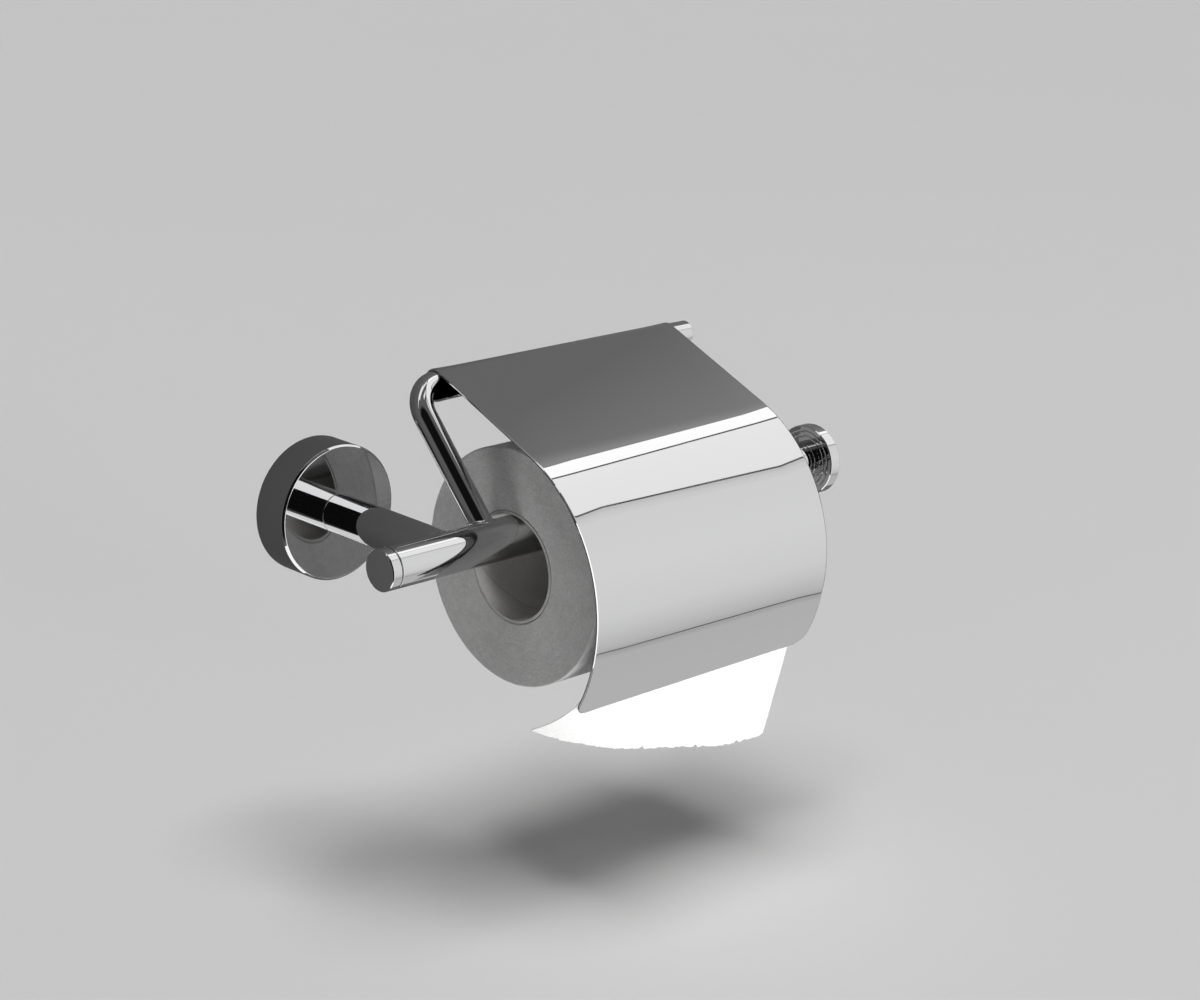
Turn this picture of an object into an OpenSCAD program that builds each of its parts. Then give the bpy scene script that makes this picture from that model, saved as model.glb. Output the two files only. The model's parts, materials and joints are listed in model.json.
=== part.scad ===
// Wall-mounted toilet paper holder: one post carries a horizontal bar, and a bent
// wire on the bar carries a hinged sheet cover over the roll.
// Millimetres. Origin: centre of the rosette's back face, on the wall.
// +X runs to the right along the wall, +Y goes into the wall, +Z is up.

/* [Rosette] */
// Outer diameter of the round rosette
rosette_d = 50.3; // [47:0.1:60]
// How far the rosette stands off the wall
rosette_depth = 15.7; // [14:0.1:24]
// Thickness of the rosette's rim
rosette_wall = 2.9; // [2.4:0.1:3.6]
// Thickness of the rosette's front
rosette_front = 3.2; // [2.4:0.1:4]
// Bevel round the rosette's front edge
rosette_bevel = 0.9; // [0.4:0.1:1.6]

/* [Wall fixing] */
// Thickness of the fixing disc on the wall
disc_t = 8; // [6:0.1:9]
// Distance between the two wall screw holes
screw_spacing = 26; // [24.5:0.5:28]
// Diameter of the wall screw holes
screw_hole_d = 5; // [4:0.1:5.5]
// Diameter of the counterbore for a wall screw's head
screw_head_d = 9.6; // [8:0.1:10.4]
// Depth of that counterbore
screw_head_depth = 3.6; // [2:0.1:4.5]
// Diameter of the grub screw that clamps the rosette on the disc
grub_d = 4; // [3:0.5:5]
// Across-flats size of the grub screw's hexagon socket
grub_key = 2; // [1.5:0.1:2.2]

/* [Post] */
// Diameter of the post
post_d = 14.7; // [12:0.1:14.9]
// Distance from the wall to the bar's axis
wall_to_bar = 74.4; // [66:0.1:95]
// Diameter of the screw inside the rosette and of the stud inside the bar
stud_d = 6; // [5:0.5:6.5]
// Diameter of the head of the screw inside the rosette
post_screw_head_d = 9; // [8:0.1:10]
// Outer diameter of the washer under that head
washer_d = 13; // [11:0.1:13.4]
// Thickness of that washer
washer_t = 1.2; // [0.8:0.1:1.6]

/* [Bar] */
// Outer diameter of the bar
bar_d = 15; // [15:0.1:18]
// Wall of the bar's tube
bar_wall = 1.2; // [0.9:0.1:1.8]
// Distance from the post's axis to the bar's left end
bar_overhang = 29.7; // [26:0.1:45]
// Length of bar between the cover and the end knob
bar_free = 40; // [20:0.5:60]
// Visible length of the left end cap
cap_len = 4.4; // [2.5:0.1:6]
// Length of the end cap's spigot inside the tube
cap_spigot = 9; // [6:0.5:10]
// Chamfer at the end of the cap
cap_chamfer = 0.6; // [0.3:0.1:1.2]
// Diameter of the end knob that keeps the roll on
knob_d = 27.4; // [22:0.1:32]
// Thickness of the end knob
knob_t = 5.2; // [4:0.1:8]
// Bevel round both edges of the end knob
knob_bevel = 0.7; // [0.3:0.1:1.5]
// Diameter of the stud that holds the end knob
knob_stud_d = 5; // [4:0.5:6]
// Length of the plug inside the bar's right end
plug_len = 16; // [12:0.5:24]

/* [Hinge wire] */
// Diameter of the bent wire
wire_d = 8.6; // [7:0.1:9.5]
// Hinge axis: distance behind the bar's axis
hinge_back = 38.4; // [36:0.1:44]
// Hinge axis: height above the bar's axis
hinge_up = 48.2; // [45:0.1:58]
// Radius of the wire's bend, at its middle
wire_bend_r = 10.8; // [8:0.1:12]
// How far the wire's leg leans to the right towards its foot, in degrees
leg_splay = 4.4; // [0:0.1:8]
// Length of the turned end piece on the wire, right of the cover
wire_end_len = 9.8; // [6:0.1:20]
// How much larger its radius is than the wire's, to hold the cover on
wire_end_rim = 0.25; // [0.2:0.05:0.6]
// Diameter of the stud that holds the wire's foot
foot_stud_d = 4; // [3:0.5:5]

/* [Cover] */
// Thickness of the cover's sheet
cover_t = 0.8; // [0.6:0.1:1.5]
// Gap between the rosette and the cover's left edge, seen from the front
cover_gap = 1.5; // [1:0.1:6]
// Distance from the cover's left edge to the roll
cover_side_left = 3.8; // [2:0.1:8]
// Distance from the roll to the cover's right edge
cover_side_right = 5.4; // [2:0.1:12]
// Front curve: how far its centre lies behind the roll's axis
front_shift_back = 9.9; // [6:0.1:12]
// Front curve: how far its centre lies below the roll's axis
front_shift_down = 9.2; // [6:0.1:12]
// How much larger the lower curve's radius is than the front curve's
tuck_extra = 6.6; // [2:0.1:20]
// How far the cover's lower edge lies below the roll
lip_below = 0.5; // [-4:0.5:6]
// Radius of the cover's lower corners
corner_r = 6; // [2:0.5:10]
// How far the hinge curl's underside is set down from the wire
curl_drop = 1.8; // [0:0.1:3]
// Where the flap that closes the curl meets the flat panel, from the hinge
flap_reach = 14.5; // [13:0.1:18]

/* [Roll] */
// Outer diameter of the paper roll
roll_d = 87; // [72:1:96]
// Width of the paper roll
roll_w = 109; // [95:1:115]
// Inner diameter of the cardboard core
core_d = 38.6; // [34:0.1:42]
// Thickness of the cardboard core
core_t = 1; // [0.6:0.1:1.6]

/* [Loose sheet] */
// Thickness of the solid that stands for the loose sheet
sheet_t = 0.7; // [0.5:0.1:0.9]
// Length of sheet from where it meets the cover to its left corner
sheet_left_len = 50; // [35:1:65]
// Length of sheet from where it meets the cover to its right corner
sheet_right_len = 60; // [35:1:65]
// Slope of the sheet's end at its left corner, in degrees from straight down
sheet_curl = 61; // [20:1:80]
// Slope of the sheet below the cover at its right edge
sheet_fall = 13; // [0:1:30]
// How quickly the curl dies away from left to right (higher is quicker)
sheet_curl_decay = 1.85; // [1:0.05:3]

/* [Hidden] */
$fn = 96;

// Clearances
fit_gap = 0.1;        // between metal pieces that slide together when assembled
hinge_gap = 0.08;     // running clearance of the cover's curl on the wire
rest_gap = 0.3;       // between curved faces that rest on each other
end_play = 0.4;       // of the cover along the wire
soft_gap = 0.5;       // between the loose sheet and what it hangs against
eps = 0.01;           // overlap of a cut past a face
lap = 0.05;           // overlap of two stretches of one piece that run into each other
hair = 0.01;          // how much one of them is set in there, so that its end is buried
bend_thin = 0.05;     // radius that the wire loses in its bend

// Rosette and fixing
rosette_r = rosette_d / 2;
disc_clearance = 0.3;
disc_r = rosette_r - rosette_wall - disc_clearance;
grub_y = -disc_t / 2;
grub_groove = 1;
grub_len = rosette_wall + disc_clearance + grub_groove;
stud_r = stud_d / 2;
washer_face = -rosette_depth + rosette_front;
post_screw_head_t = 2.6;
post_screw_key = 3;
post_thread = 12;
disc_recess_r = washer_d / 2 + 0.5;
disc_recess_depth = 2;

// Bar
bar_r = bar_d / 2;
bar_y = -wall_to_bar;
tube_r = bar_r - bar_wall;
plug_r = tube_r - fit_gap / 2;
post_r = post_d / 2;
post_stud_depth = 14;
insert_margin = 6.5;

// Cover and roll, along X
cover_x0 = rosette_r + cover_gap;
roll_x0 = cover_x0 + cover_side_left;
roll_x1 = roll_x0 + roll_w;
cover_x1 = roll_x1 + cover_side_right;
knob_x = cover_x1 + bar_free;
cap_joint_x = -bar_overhang + cap_len;

// Roll: the core rests on top of the bar
core_r = core_d / 2;
roll_r = roll_d / 2;
roll_y = bar_y;
roll_z = bar_r + rest_gap - core_r;

// Hinge wire: the leg points at the bar's axis, and the bend ends just inside the curl
wire_r = wire_d / 2;
hinge_y = bar_y + hinge_back;
hinge_z = hinge_up;
leg_lean = atan2(hinge_back, hinge_up);
leg_axis_len = norm([hinge_back, hinge_up]) / cos(leg_splay);
bend_turn = 90 + leg_splay;
bend_reach = wire_bend_r * tan(bend_turn / 2);
bend_in_curl = 0.8;
corner_x = cover_x0 + bend_in_curl - bend_reach;
foot_x = corner_x + (leg_axis_len - bar_r) * sin(leg_splay);
wire_end_x0 = cover_x1 + end_play;
wire_end_spigot_r = wire_r * 0.5;
wire_end_spigot_len = 7;

// Cover: curl radii, and the circle of the front curve
curl_in = wire_r + hinge_gap;
curl_out = curl_in + cover_t;
front_y = roll_y + front_shift_back;
front_z = roll_z - front_shift_down;
front_r = norm([front_shift_back, front_shift_down]) + roll_r + rest_gap + cover_t;
tuck_r = front_r + tuck_extra;
tuck_y = front_y - front_r + tuck_r;
lip_z = roll_z - roll_r - lip_below;
lip_angle = asin((front_z - lip_z) / tuck_r);
// The flat panel touches the curl's circle and the front curve's circle
centre_dist = norm([hinge_y - front_y, hinge_z - front_z]);
centre_angle = atan2(hinge_z - front_z, hinge_y - front_y);
panel_angle = centre_angle - asin((front_r - curl_out) / centre_dist);
panel_len = sqrt(centre_dist * centre_dist - pow(front_r - curl_out, 2));
// Flap: from the panel it runs back and touches the lower circle of the curl from below
curl_mid = curl_in + cover_t / 2;
curl_low_z = hinge_z - curl_drop;
flap_y = hinge_y - flap_reach * cos(panel_angle) - curl_mid * sin(panel_angle);
flap_z = hinge_z - flap_reach * sin(panel_angle) + curl_mid * cos(panel_angle);
flap_span = norm([hinge_y - flap_y, curl_low_z - flap_z]);
flap_slope = asin(curl_mid / flap_span) - atan2(curl_low_z - flap_z, hinge_y - flap_y);
flap_len = sqrt(flap_span * flap_span - curl_mid * curl_mid);

// Loose sheet: it hangs from the roll's front, meets the cover's tucked curve, follows it
// to the lip and hangs on below
sheet_cols = 12;
sheet_hug_rows = 6;
sheet_free_rows = 10;
sheet_out_y = roll_y - roll_r - rest_gap - sheet_t;
sheet_r = tuck_r - cover_t - soft_gap;
sheet_top_angle = acos((tuck_y - sheet_out_y) / sheet_r);
sheet_lip_angle = asin((front_z - lip_z) / sheet_r);
sheet_hug_len = sheet_r * (sheet_lip_angle - sheet_top_angle) * PI / 180;

chrome = [0.80, 0.81, 0.83];
steel = [0.62, 0.63, 0.65];
zinc = [0.55, 0.56, 0.58];
rubber = [0.08, 0.08, 0.09];
card = [0.66, 0.60, 0.50];
paper = [0.95, 0.95, 0.94];

// Cylinder along X from x0 to x1 with its axis at (y, z)
module rod_x(r, x0, x1, y = 0, z = 0) {
    translate([x0, y, z])
        rotate([0, 90, 0])
            cylinder(r = r, h = x1 - x0);
}

// Cylinder along Y from the wall side y0 out to y1 (y1 < y0), with its axis at (x, z)
module rod_y(r, y0, y1, x = 0, z = 0) {
    translate([x, y0, z])
        rotate([90, 0, 0])
            cylinder(r = r, h = y0 - y1);
}

// Round bar along X with a bevel at each end
module bevelled_x(r, x0, x1, bevel0, bevel1, y = 0, z = 0) {
    translate([x0, y, z])
        rotate([90, 0, 90])
            rotate_extrude()
                polygon([[0, 0], [r - bevel0, 0], [r, bevel0], [r, x1 - x0 - bevel1],
                    [r - bevel1, x1 - x0], [0, x1 - x0]]);
}

// Part of a round shell about an X axis at (y, z): radii r0 to r1, from angle a0 to a1
// measured in the YZ plane from the -Y direction towards +Z
module shell_x(r0, r1, a0, a1, x0, x1, y, z) {
    translate([x0, y, z])
        mirror([0, 1, 0])
            rotate([90, 0, 90])
                rotate([0, 0, a0])
                    rotate_extrude(angle = a1 - a0)
                        translate([r0, 0])
                            square([r1 - r0, x1 - x0]);
}

// Hexagon socket along +Z, starting at the origin
module hex_socket(flats, depth) {
    cylinder(d = flats / cos(30), h = depth, $fn = 6);
}

// Disc screwed to the wall, hidden in the rosette
module fixing_disc() {
    color(zinc)
        difference() {
            rod_y(disc_r, 0, -disc_t);
            for (side = [-1, 1]) {
                rod_y(screw_hole_d / 2, eps, -disc_t - eps, side * screw_spacing / 2);
                rod_y(screw_head_d / 2, -disc_t + screw_head_depth, -disc_t - eps,
                    side * screw_spacing / 2);
            }
            // Recess for the head of the post's screw
            rod_y(disc_recess_r, -disc_t + disc_recess_depth, -disc_t - eps);
            // Groove round the rim that the grub screw's tip enters
            rotate([90, 0, 0])
                rotate_extrude()
                    polygon([[disc_r - grub_groove, -grub_y - grub_d * 0.6],
                        [disc_r + 1, -grub_y - grub_d * 0.6],
                        [disc_r + 1, -grub_y + grub_d * 0.6],
                        [disc_r - grub_groove, -grub_y + grub_d * 0.6]]);
        }
}

// Cup that covers the fixing and carries the post
module rosette() {
    color(chrome)
        difference() {
            rotate([90, 0, 0])
                rotate_extrude()
                    polygon([[0, 0], [rosette_r - 0.3, 0], [rosette_r, 0.3],
                        [rosette_r, rosette_depth - rosette_bevel],
                        [rosette_r - rosette_bevel, rosette_depth], [0, rosette_depth]]);
            rod_y(rosette_r - rosette_wall, eps, washer_face);
            rod_y(stud_r + fit_gap, washer_face + eps, -rosette_depth - eps);
            // Threaded hole for the grub screw, at the bottom
            translate([0, grub_y, 0])
                rotate([180, 0, 0])
                    cylinder(d = grub_d, h = rosette_r + 1);
        }
}

// Grub screw: clamps the rosette on the disc's groove from below
module grub_screw() {
    color(steel)
        translate([0, grub_y, -rosette_r + 0.4])
            difference() {
                cylinder(d = grub_d, h = grub_len - 0.4);
                translate([0, 0, -eps])
                    hex_socket(grub_key, grub_len * 0.4);
            }
}

// Screw inside the rosette that holds the post
module post_screw() {
    color(steel)
        difference() {
            union() {
                rod_y(post_screw_head_d / 2, washer_face + washer_t + post_screw_head_t,
                    washer_face + washer_t);
                rod_y(stud_r, washer_face + washer_t, -rosette_depth - post_thread + 1);
            }
            translate([0, washer_face + washer_t + post_screw_head_t + eps, 0])
                rotate([90, 0, 0])
                    hex_socket(post_screw_key, post_screw_head_t * 0.6);
        }
}

// Washer under that screw's head
module post_washer() {
    color(steel)
        difference() {
            rod_y(washer_d / 2, washer_face + washer_t, washer_face);
            rod_y(stud_r + fit_gap, washer_face + washer_t + eps, washer_face - eps);
        }
}

// Post between the rosette and the bar, with a saddle cut at the bar
module post() {
    color(chrome)
        difference() {
            rod_y(post_r, -rosette_depth, bar_y);
            rod_x(bar_r, -post_r - 1, post_r + 1, bar_y);
            rod_y(stud_r, -rosette_depth + eps, -rosette_depth - post_thread);
            rod_y(stud_r, bar_y + bar_r + post_stud_depth, bar_y - eps);
        }
}

// Stud between the post and the insert inside the bar
module bar_stud() {
    color(steel)
        rod_y(stud_r, bar_y + bar_r + post_stud_depth - 1, bar_y + 0.5);
}

// Solid insert inside the tube: takes the post's stud and the wire's stud
module bar_insert() {
    color(steel)
        difference() {
            rod_x(plug_r, -insert_margin, foot_x + insert_margin, bar_y);
            rod_y(stud_r, bar_y + bar_r, bar_y);
            foot_bore(foot_stud_d / 2);
        }
}

// Frame of the wire: origin at the corner where the leg's axis meets the hinge axis,
// +X along the hinge and +Z up the leg before it splays
module wire_frame() {
    translate([corner_x, hinge_y, hinge_z])
        rotate([-leg_lean, 0, 0])
            children();
}

// Hole or stud on the leg's axis, from below the bar's surface up into the leg
module foot_bore(r, down = 5, up = 9) {
    wire_frame()
        rotate([0, -leg_splay, 0])
            translate([0, 0, bar_r - leg_axis_len - down])
                cylinder(r = r, h = down + up);
}

// Tube of the bar
module bar_tube() {
    color(chrome)
        difference() {
            rod_x(bar_r, cap_joint_x, knob_x, bar_y);
            rod_x(tube_r, cap_joint_x - eps, knob_x + eps, bar_y);
            rod_y(stud_r + fit_gap, bar_y + bar_r + 1, bar_y);
            foot_bore(foot_stud_d / 2 + fit_gap);
        }
}

// Turned cap in the bar's left end, with a fine groove at its joint
module end_cap() {
    groove = 0.3;
    color(chrome)
        difference() {
            union() {
                bevelled_x(bar_r, -bar_overhang, cap_joint_x, cap_chamfer, groove, bar_y);
                rod_x(plug_r, cap_joint_x - eps, cap_joint_x + cap_spigot, bar_y);
            }
            // Groove for the rubber ring
            translate([cap_joint_x + cap_spigot / 2, bar_y, 0])
                rotate([0, 90, 0])
                    difference() {
                        cylinder(r = plug_r + 1, h = 2.2, center = true);
                        cylinder(r = plug_r - 1, h = 2.2 + eps, center = true);
                    }
        }
}

// Rubber ring that holds the end cap in the tube
module cap_ring() {
    color(rubber)
        translate([cap_joint_x + cap_spigot / 2, bar_y, 0])
            rotate([0, 90, 0])
                difference() {
                    cylinder(r = tube_r, h = 2, center = true);
                    cylinder(r = plug_r - 1, h = 2 + eps, center = true);
                }
}

// Plug in the bar's right end
module knob_plug() {
    color(steel)
        difference() {
            rod_x(plug_r, knob_x - plug_len, knob_x, bar_y);
            rod_x(knob_stud_d / 2, knob_x - plug_len + 3, knob_x + eps, bar_y);
        }
}

// Stud between that plug and the end knob
module knob_stud() {
    color(steel)
        rod_x(knob_stud_d / 2, knob_x - plug_len + 4, knob_x + knob_t * 0.5, bar_y);
}

// Disc knob at the bar's free end
module end_knob() {
    color(chrome)
        difference() {
            bevelled_x(knob_d / 2, knob_x, knob_x + knob_t, knob_bevel, knob_bevel, bar_y);
            rod_x(knob_stud_d / 2, knob_x - eps, knob_x + knob_t * 0.6, bar_y);
        }
}

// Bent wire: leg up from the bar, bend, and the run that the cover hinges on
module hinge_wire() {
    color(chrome)
        difference() {
            union() {
                wire_frame() {
                    rotate([0, -leg_splay, 0])
                        translate([0, 0, -leg_axis_len])
                            cylinder(r = wire_r, h = leg_axis_len - bend_reach + lap);
                    translate([bend_reach, 0, -wire_bend_r])
                        rotate([90, 0, 0])
                            rotate([0, 0, 90])
                                rotate_extrude(angle = bend_turn)
                                    translate([wire_bend_r, 0])
                                        circle(r = wire_r - bend_thin);
                }
                rod_x(wire_r, corner_x + bend_reach - lap, wire_end_x0, hinge_y, hinge_z);
            }
            rod_x(bar_r, foot_x - bar_d, foot_x + bar_d, bar_y);
            foot_bore(foot_stud_d / 2);
            rod_x(wire_end_spigot_r, wire_end_x0 - wire_end_spigot_len, wire_end_x0 + eps,
                hinge_y, hinge_z);
        }
}

// Stud that holds the wire's foot on the bar
module foot_stud() {
    color(steel)
        foot_bore(foot_stud_d / 2, 4.5, 8);
}

// Turned end piece pressed into the wire: its shoulder keeps the cover on
module wire_end_piece() {
    color(chrome) {
        bevelled_x(wire_r + wire_end_rim, wire_end_x0, wire_end_x0 + wire_end_len, 0.2, 0.8,
            hinge_y, hinge_z);
        rod_x(wire_end_spigot_r, wire_end_x0 - wire_end_spigot_len + 1, wire_end_x0 + eps,
            hinge_y, hinge_z);
    }
}

// Hinged cover: curl, closing flap, flat panel, front curve and tucked lower curve
module cover() {
    width = cover_x1 - cover_x0;
    color(chrome)
        difference() {
            union() {
                // Curl: over the wire, straight down behind it, and round below it
                shell_x(curl_in, curl_out, 90 - panel_angle, 180, cover_x0, cover_x1,
                    hinge_y, hinge_z);
                translate([cover_x0, hinge_y + curl_in + hair, curl_low_z - lap])
                    cube([width, cover_t - 2 * hair, curl_drop + 2 * lap]);
                shell_x(curl_in, curl_out, 180, 270 + flap_slope, cover_x0, cover_x1,
                    hinge_y, curl_low_z);
                // Closing flap
                translate([cover_x0, hinge_y, curl_low_z])
                    rotate([-flap_slope, 0, 0])
                        translate([0, -flap_len, -curl_out + hair])
                            cube([width, flap_len + lap, cover_t - 2 * hair]);
                // Flat panel
                translate([cover_x0, hinge_y, hinge_z])
                    rotate([panel_angle, 0, 0])
                        translate([0, -panel_len - lap, curl_in + hair])
                            cube([width, panel_len + 2 * lap, cover_t - 2 * hair]);
                // Front curve, and the larger curve below it
                shell_x(front_r - cover_t, front_r, 0, 90 - panel_angle, cover_x0, cover_x1,
                    front_y, front_z);
                shell_x(tuck_r - cover_t + hair, tuck_r - hair, -lip_angle, lap, cover_x0,
                    cover_x1, tuck_y, front_z);
            }
            for (side = [0, 1])
                cover_corner(side);
        }
}

// Cutter that rounds one lower corner of the cover: side 0 is left, 1 is right
module cover_corner(side) {
    x = side == 0 ? cover_x0 : cover_x1;
    flip = side == 0 ? 0 : 1;
    translate([x, tuck_y, lip_z])
        mirror([flip, 0, 0])
            difference() {
                translate([-1, -tuck_r - 1, -2])
                    cube([corner_r + 1, tuck_r, corner_r + 2]);
                rod_y(corner_r, 0, -tuck_r - 2, corner_r, corner_r);
            }
}

// Cardboard core of the roll
module cardboard_core() {
    color(card)
        difference() {
            rod_x(core_r + core_t, roll_x0, roll_x1, roll_y, roll_z);
            rod_x(core_r, roll_x0 - 1, roll_x1 + 1, roll_y, roll_z);
        }
}

// Wound paper
module paper_roll() {
    color(paper)
        difference() {
            rod_x(roll_r, roll_x0, roll_x1, roll_y, roll_z);
            rod_x(core_r + core_t, roll_x0 - 1, roll_x1 + 1, roll_y, roll_z);
        }
}

// How strongly the curl is felt at distance x from the sheet's left edge, 1 to 0
function curl_share(x) = pow(1 - x / roll_w, sheet_curl_decay);
function sheet_len(x) = sheet_right_len + (sheet_left_len - sheet_right_len) * curl_share(x);
// Slope at arc length s from where the sheet meets the cover: along the cover, and curled
function hug_slope(s) =
    s < sheet_hug_len ? sheet_top_angle + s / sheet_r * 180 / PI : sheet_fall;
function curled_slope(w) = sheet_top_angle + (sheet_curl - sheet_top_angle) * w * (2 - w);
function sheet_slope(x, s) =
    (1 - curl_share(x)) * hug_slope(s) + curl_share(x) * curled_slope(s / sheet_len(x));
// Arc lengths of the rows at distance x
function sheet_stops(x) = concat(
    [for (i = [0:sheet_hug_rows]) sheet_hug_len * i / sheet_hug_rows],
    [for (i = [1:sheet_free_rows])
        sheet_hug_len + (sheet_len(x) - sheet_hug_len) * i / sheet_free_rows]);

// Front face of the sheet at distance x: [y, z, slope], from the roll's side to the end
function sheet_line(x) =
    let (stops = sheet_stops(x), n = len(stops) - 1)
        concat([[sheet_out_y, roll_z, 0]],
            [for (i = 0, y = tuck_y - sheet_r * cos(sheet_top_angle),
                    z = front_z - sheet_r * sin(sheet_top_angle); i <= n;
                    step = i < n ? stops[i + 1] - stops[i] : 0,
                    a = i < n ? sheet_slope(x, (stops[i] + stops[i + 1]) / 2) : 0,
                    y = y + step * sin(a), z = z - step * cos(a), i = i + 1)
                [y, z, sheet_slope(x, max(stops[i], 0.1))]]);

// Thin closed solid for the loose sheet that hangs from the roll behind the cover
module loose_sheet() {
    xs = [for (c = [0:sheet_cols]) roll_w * c / sheet_cols];
    lines = [for (x = xs) sheet_line(x)];
    rows = len(lines[0]);
    front = [for (c = [0:sheet_cols]) for (p = lines[c]) [roll_x0 + xs[c], p[0], p[1]]];
    back = [for (c = [0:sheet_cols]) for (p = lines[c])
        [roll_x0 + xs[c], p[0] + sheet_t * cos(p[2]), p[1] + sheet_t * sin(p[2])]];
    half = len(front);
    function id(c, r) = c * rows + r;
    function quad(a, b, c, d) = [[a, b, c], [a, c, d]];
    cells = [for (c = [0:sheet_cols - 1]) for (r = [0:rows - 2]) [c, r]];
    front_faces = [for (q = cells) each quad(id(q[0], q[1]), id(q[0], q[1] + 1),
        id(q[0] + 1, q[1] + 1), id(q[0] + 1, q[1]))];
    back_faces = [for (q = cells) each quad(half + id(q[0], q[1]), half + id(q[0] + 1, q[1]),
        half + id(q[0] + 1, q[1] + 1), half + id(q[0], q[1] + 1))];
    rim = concat([for (r = [0:rows - 1]) id(0, r)],
        [for (c = [1:sheet_cols]) id(c, rows - 1)],
        [for (r = [1:rows - 1]) id(sheet_cols, rows - 1 - r)],
        [for (c = [1:sheet_cols - 1]) id(sheet_cols - c, 0)]);
    rim_faces = [for (k = [0:len(rim) - 1]) let (n = (k + 1) % len(rim))
        each quad(rim[n], rim[k], half + rim[k], half + rim[n])];
    color(paper)
        polyhedron(concat(front, back), concat(front_faces, back_faces, rim_faces));
}

fixing_disc();
rosette();
grub_screw();
post_screw();
post_washer();
post();
bar_stud();
bar_insert();
bar_tube();
end_cap();
cap_ring();
knob_plug();
knob_stud();
end_knob();
hinge_wire();
foot_stud();
wire_end_piece();
cover();
cardboard_core();
paper_roll();
loose_sheet();
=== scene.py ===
"""Toilet paper holder: polished metal holder, hinged sheet cover and a paper roll.

Millimetre sizes are written as numbers times MM. X runs along the wall to the right, Y goes
into the wall, Z is up, and the wall is the plane Y = 0.
"""

import json
import math
import random

import bmesh
import bpy
from mathutils import Matrix, Vector, noise


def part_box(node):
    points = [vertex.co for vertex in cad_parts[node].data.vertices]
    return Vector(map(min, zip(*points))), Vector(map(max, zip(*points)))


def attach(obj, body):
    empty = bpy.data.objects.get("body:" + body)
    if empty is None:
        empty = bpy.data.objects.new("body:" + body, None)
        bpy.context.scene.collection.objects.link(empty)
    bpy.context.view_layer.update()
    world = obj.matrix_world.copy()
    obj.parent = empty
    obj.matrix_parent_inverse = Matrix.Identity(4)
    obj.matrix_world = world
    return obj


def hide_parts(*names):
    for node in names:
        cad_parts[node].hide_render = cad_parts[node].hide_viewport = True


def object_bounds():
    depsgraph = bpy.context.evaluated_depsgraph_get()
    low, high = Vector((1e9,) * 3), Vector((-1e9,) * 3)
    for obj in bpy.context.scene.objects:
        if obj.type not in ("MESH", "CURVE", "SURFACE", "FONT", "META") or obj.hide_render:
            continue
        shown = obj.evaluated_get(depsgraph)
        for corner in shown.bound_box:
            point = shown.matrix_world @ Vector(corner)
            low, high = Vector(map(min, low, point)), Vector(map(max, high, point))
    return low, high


bl_info = {
    "name": "Toilet Paper Holder",
    "version": (1, 0, 0),
    "blender": (4, 5, 0),
    "location": "View3D > Sidebar > Paper Holder",
    "description": "Builds a wall-mounted toilet paper holder with a hinged cover and a roll",
    "category": "Object",
}

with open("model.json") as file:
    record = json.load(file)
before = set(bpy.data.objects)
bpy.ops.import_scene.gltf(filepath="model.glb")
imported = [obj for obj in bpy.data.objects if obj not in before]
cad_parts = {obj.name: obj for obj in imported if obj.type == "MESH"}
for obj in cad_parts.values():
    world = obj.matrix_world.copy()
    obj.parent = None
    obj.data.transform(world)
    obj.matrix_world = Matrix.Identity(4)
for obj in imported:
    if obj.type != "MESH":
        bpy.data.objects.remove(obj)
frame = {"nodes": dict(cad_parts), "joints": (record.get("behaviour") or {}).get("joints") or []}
CAD_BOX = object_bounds()
MM = 0.001
# points closer than this are one point
TOUCHING = 1e-7


# ---------------------------------------------------------------- sizes from the frame

def low(node):
    """Lowest corner of a solid."""
    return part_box(node)[0]


def high(node):
    """Highest corner of a solid."""
    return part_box(node)[1]


def joint_axis(name):
    """Y and Z of a joint's axis, which runs along X."""
    place = next(joint for joint in frame["joints"] if joint["name"] == name)["pos_m"]
    return place[1], place[2]


BAR_Y = (low("bar_tube").y + high("bar_tube").y) / 2
BAR_R = high("bar_tube").z
HINGE_Y, HINGE_Z = joint_axis("cover_hinge")
ROLL_Y, ROLL_Z = joint_axis("roll_spin")
ROLL_R = high("paper_roll").z - ROLL_Z
# how far the turned end piece stands proud of the wire
WIRE_STEP = 0.25 * MM
WIRE_R = (high("wire_end_piece").z - low("wire_end_piece").z) / 2 - WIRE_STEP
# hole for the post screw's shank, which is this share of its head
SHANK_SHARE = 0.68
SHANK_HOLE_R = high("post_screw").x * SHANK_SHARE


def size(label, text, default):
    """A length property in metres."""
    return bpy.props.FloatProperty(name=label, description=text, default=default, min=0.0,
                                   max=1.0, precision=5, subtype="DISTANCE", unit="LENGTH")


def turn(label, text, default):
    """An angle property."""
    return bpy.props.FloatProperty(name=label, description=text, default=default,
                                   subtype="ANGLE", unit="ROTATION")


def tint(label, text, default):
    """A colour property."""
    return bpy.props.FloatVectorProperty(name=label, description=text, default=default,
                                         min=0.0, max=1.0, size=3, subtype="COLOR")


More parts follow.
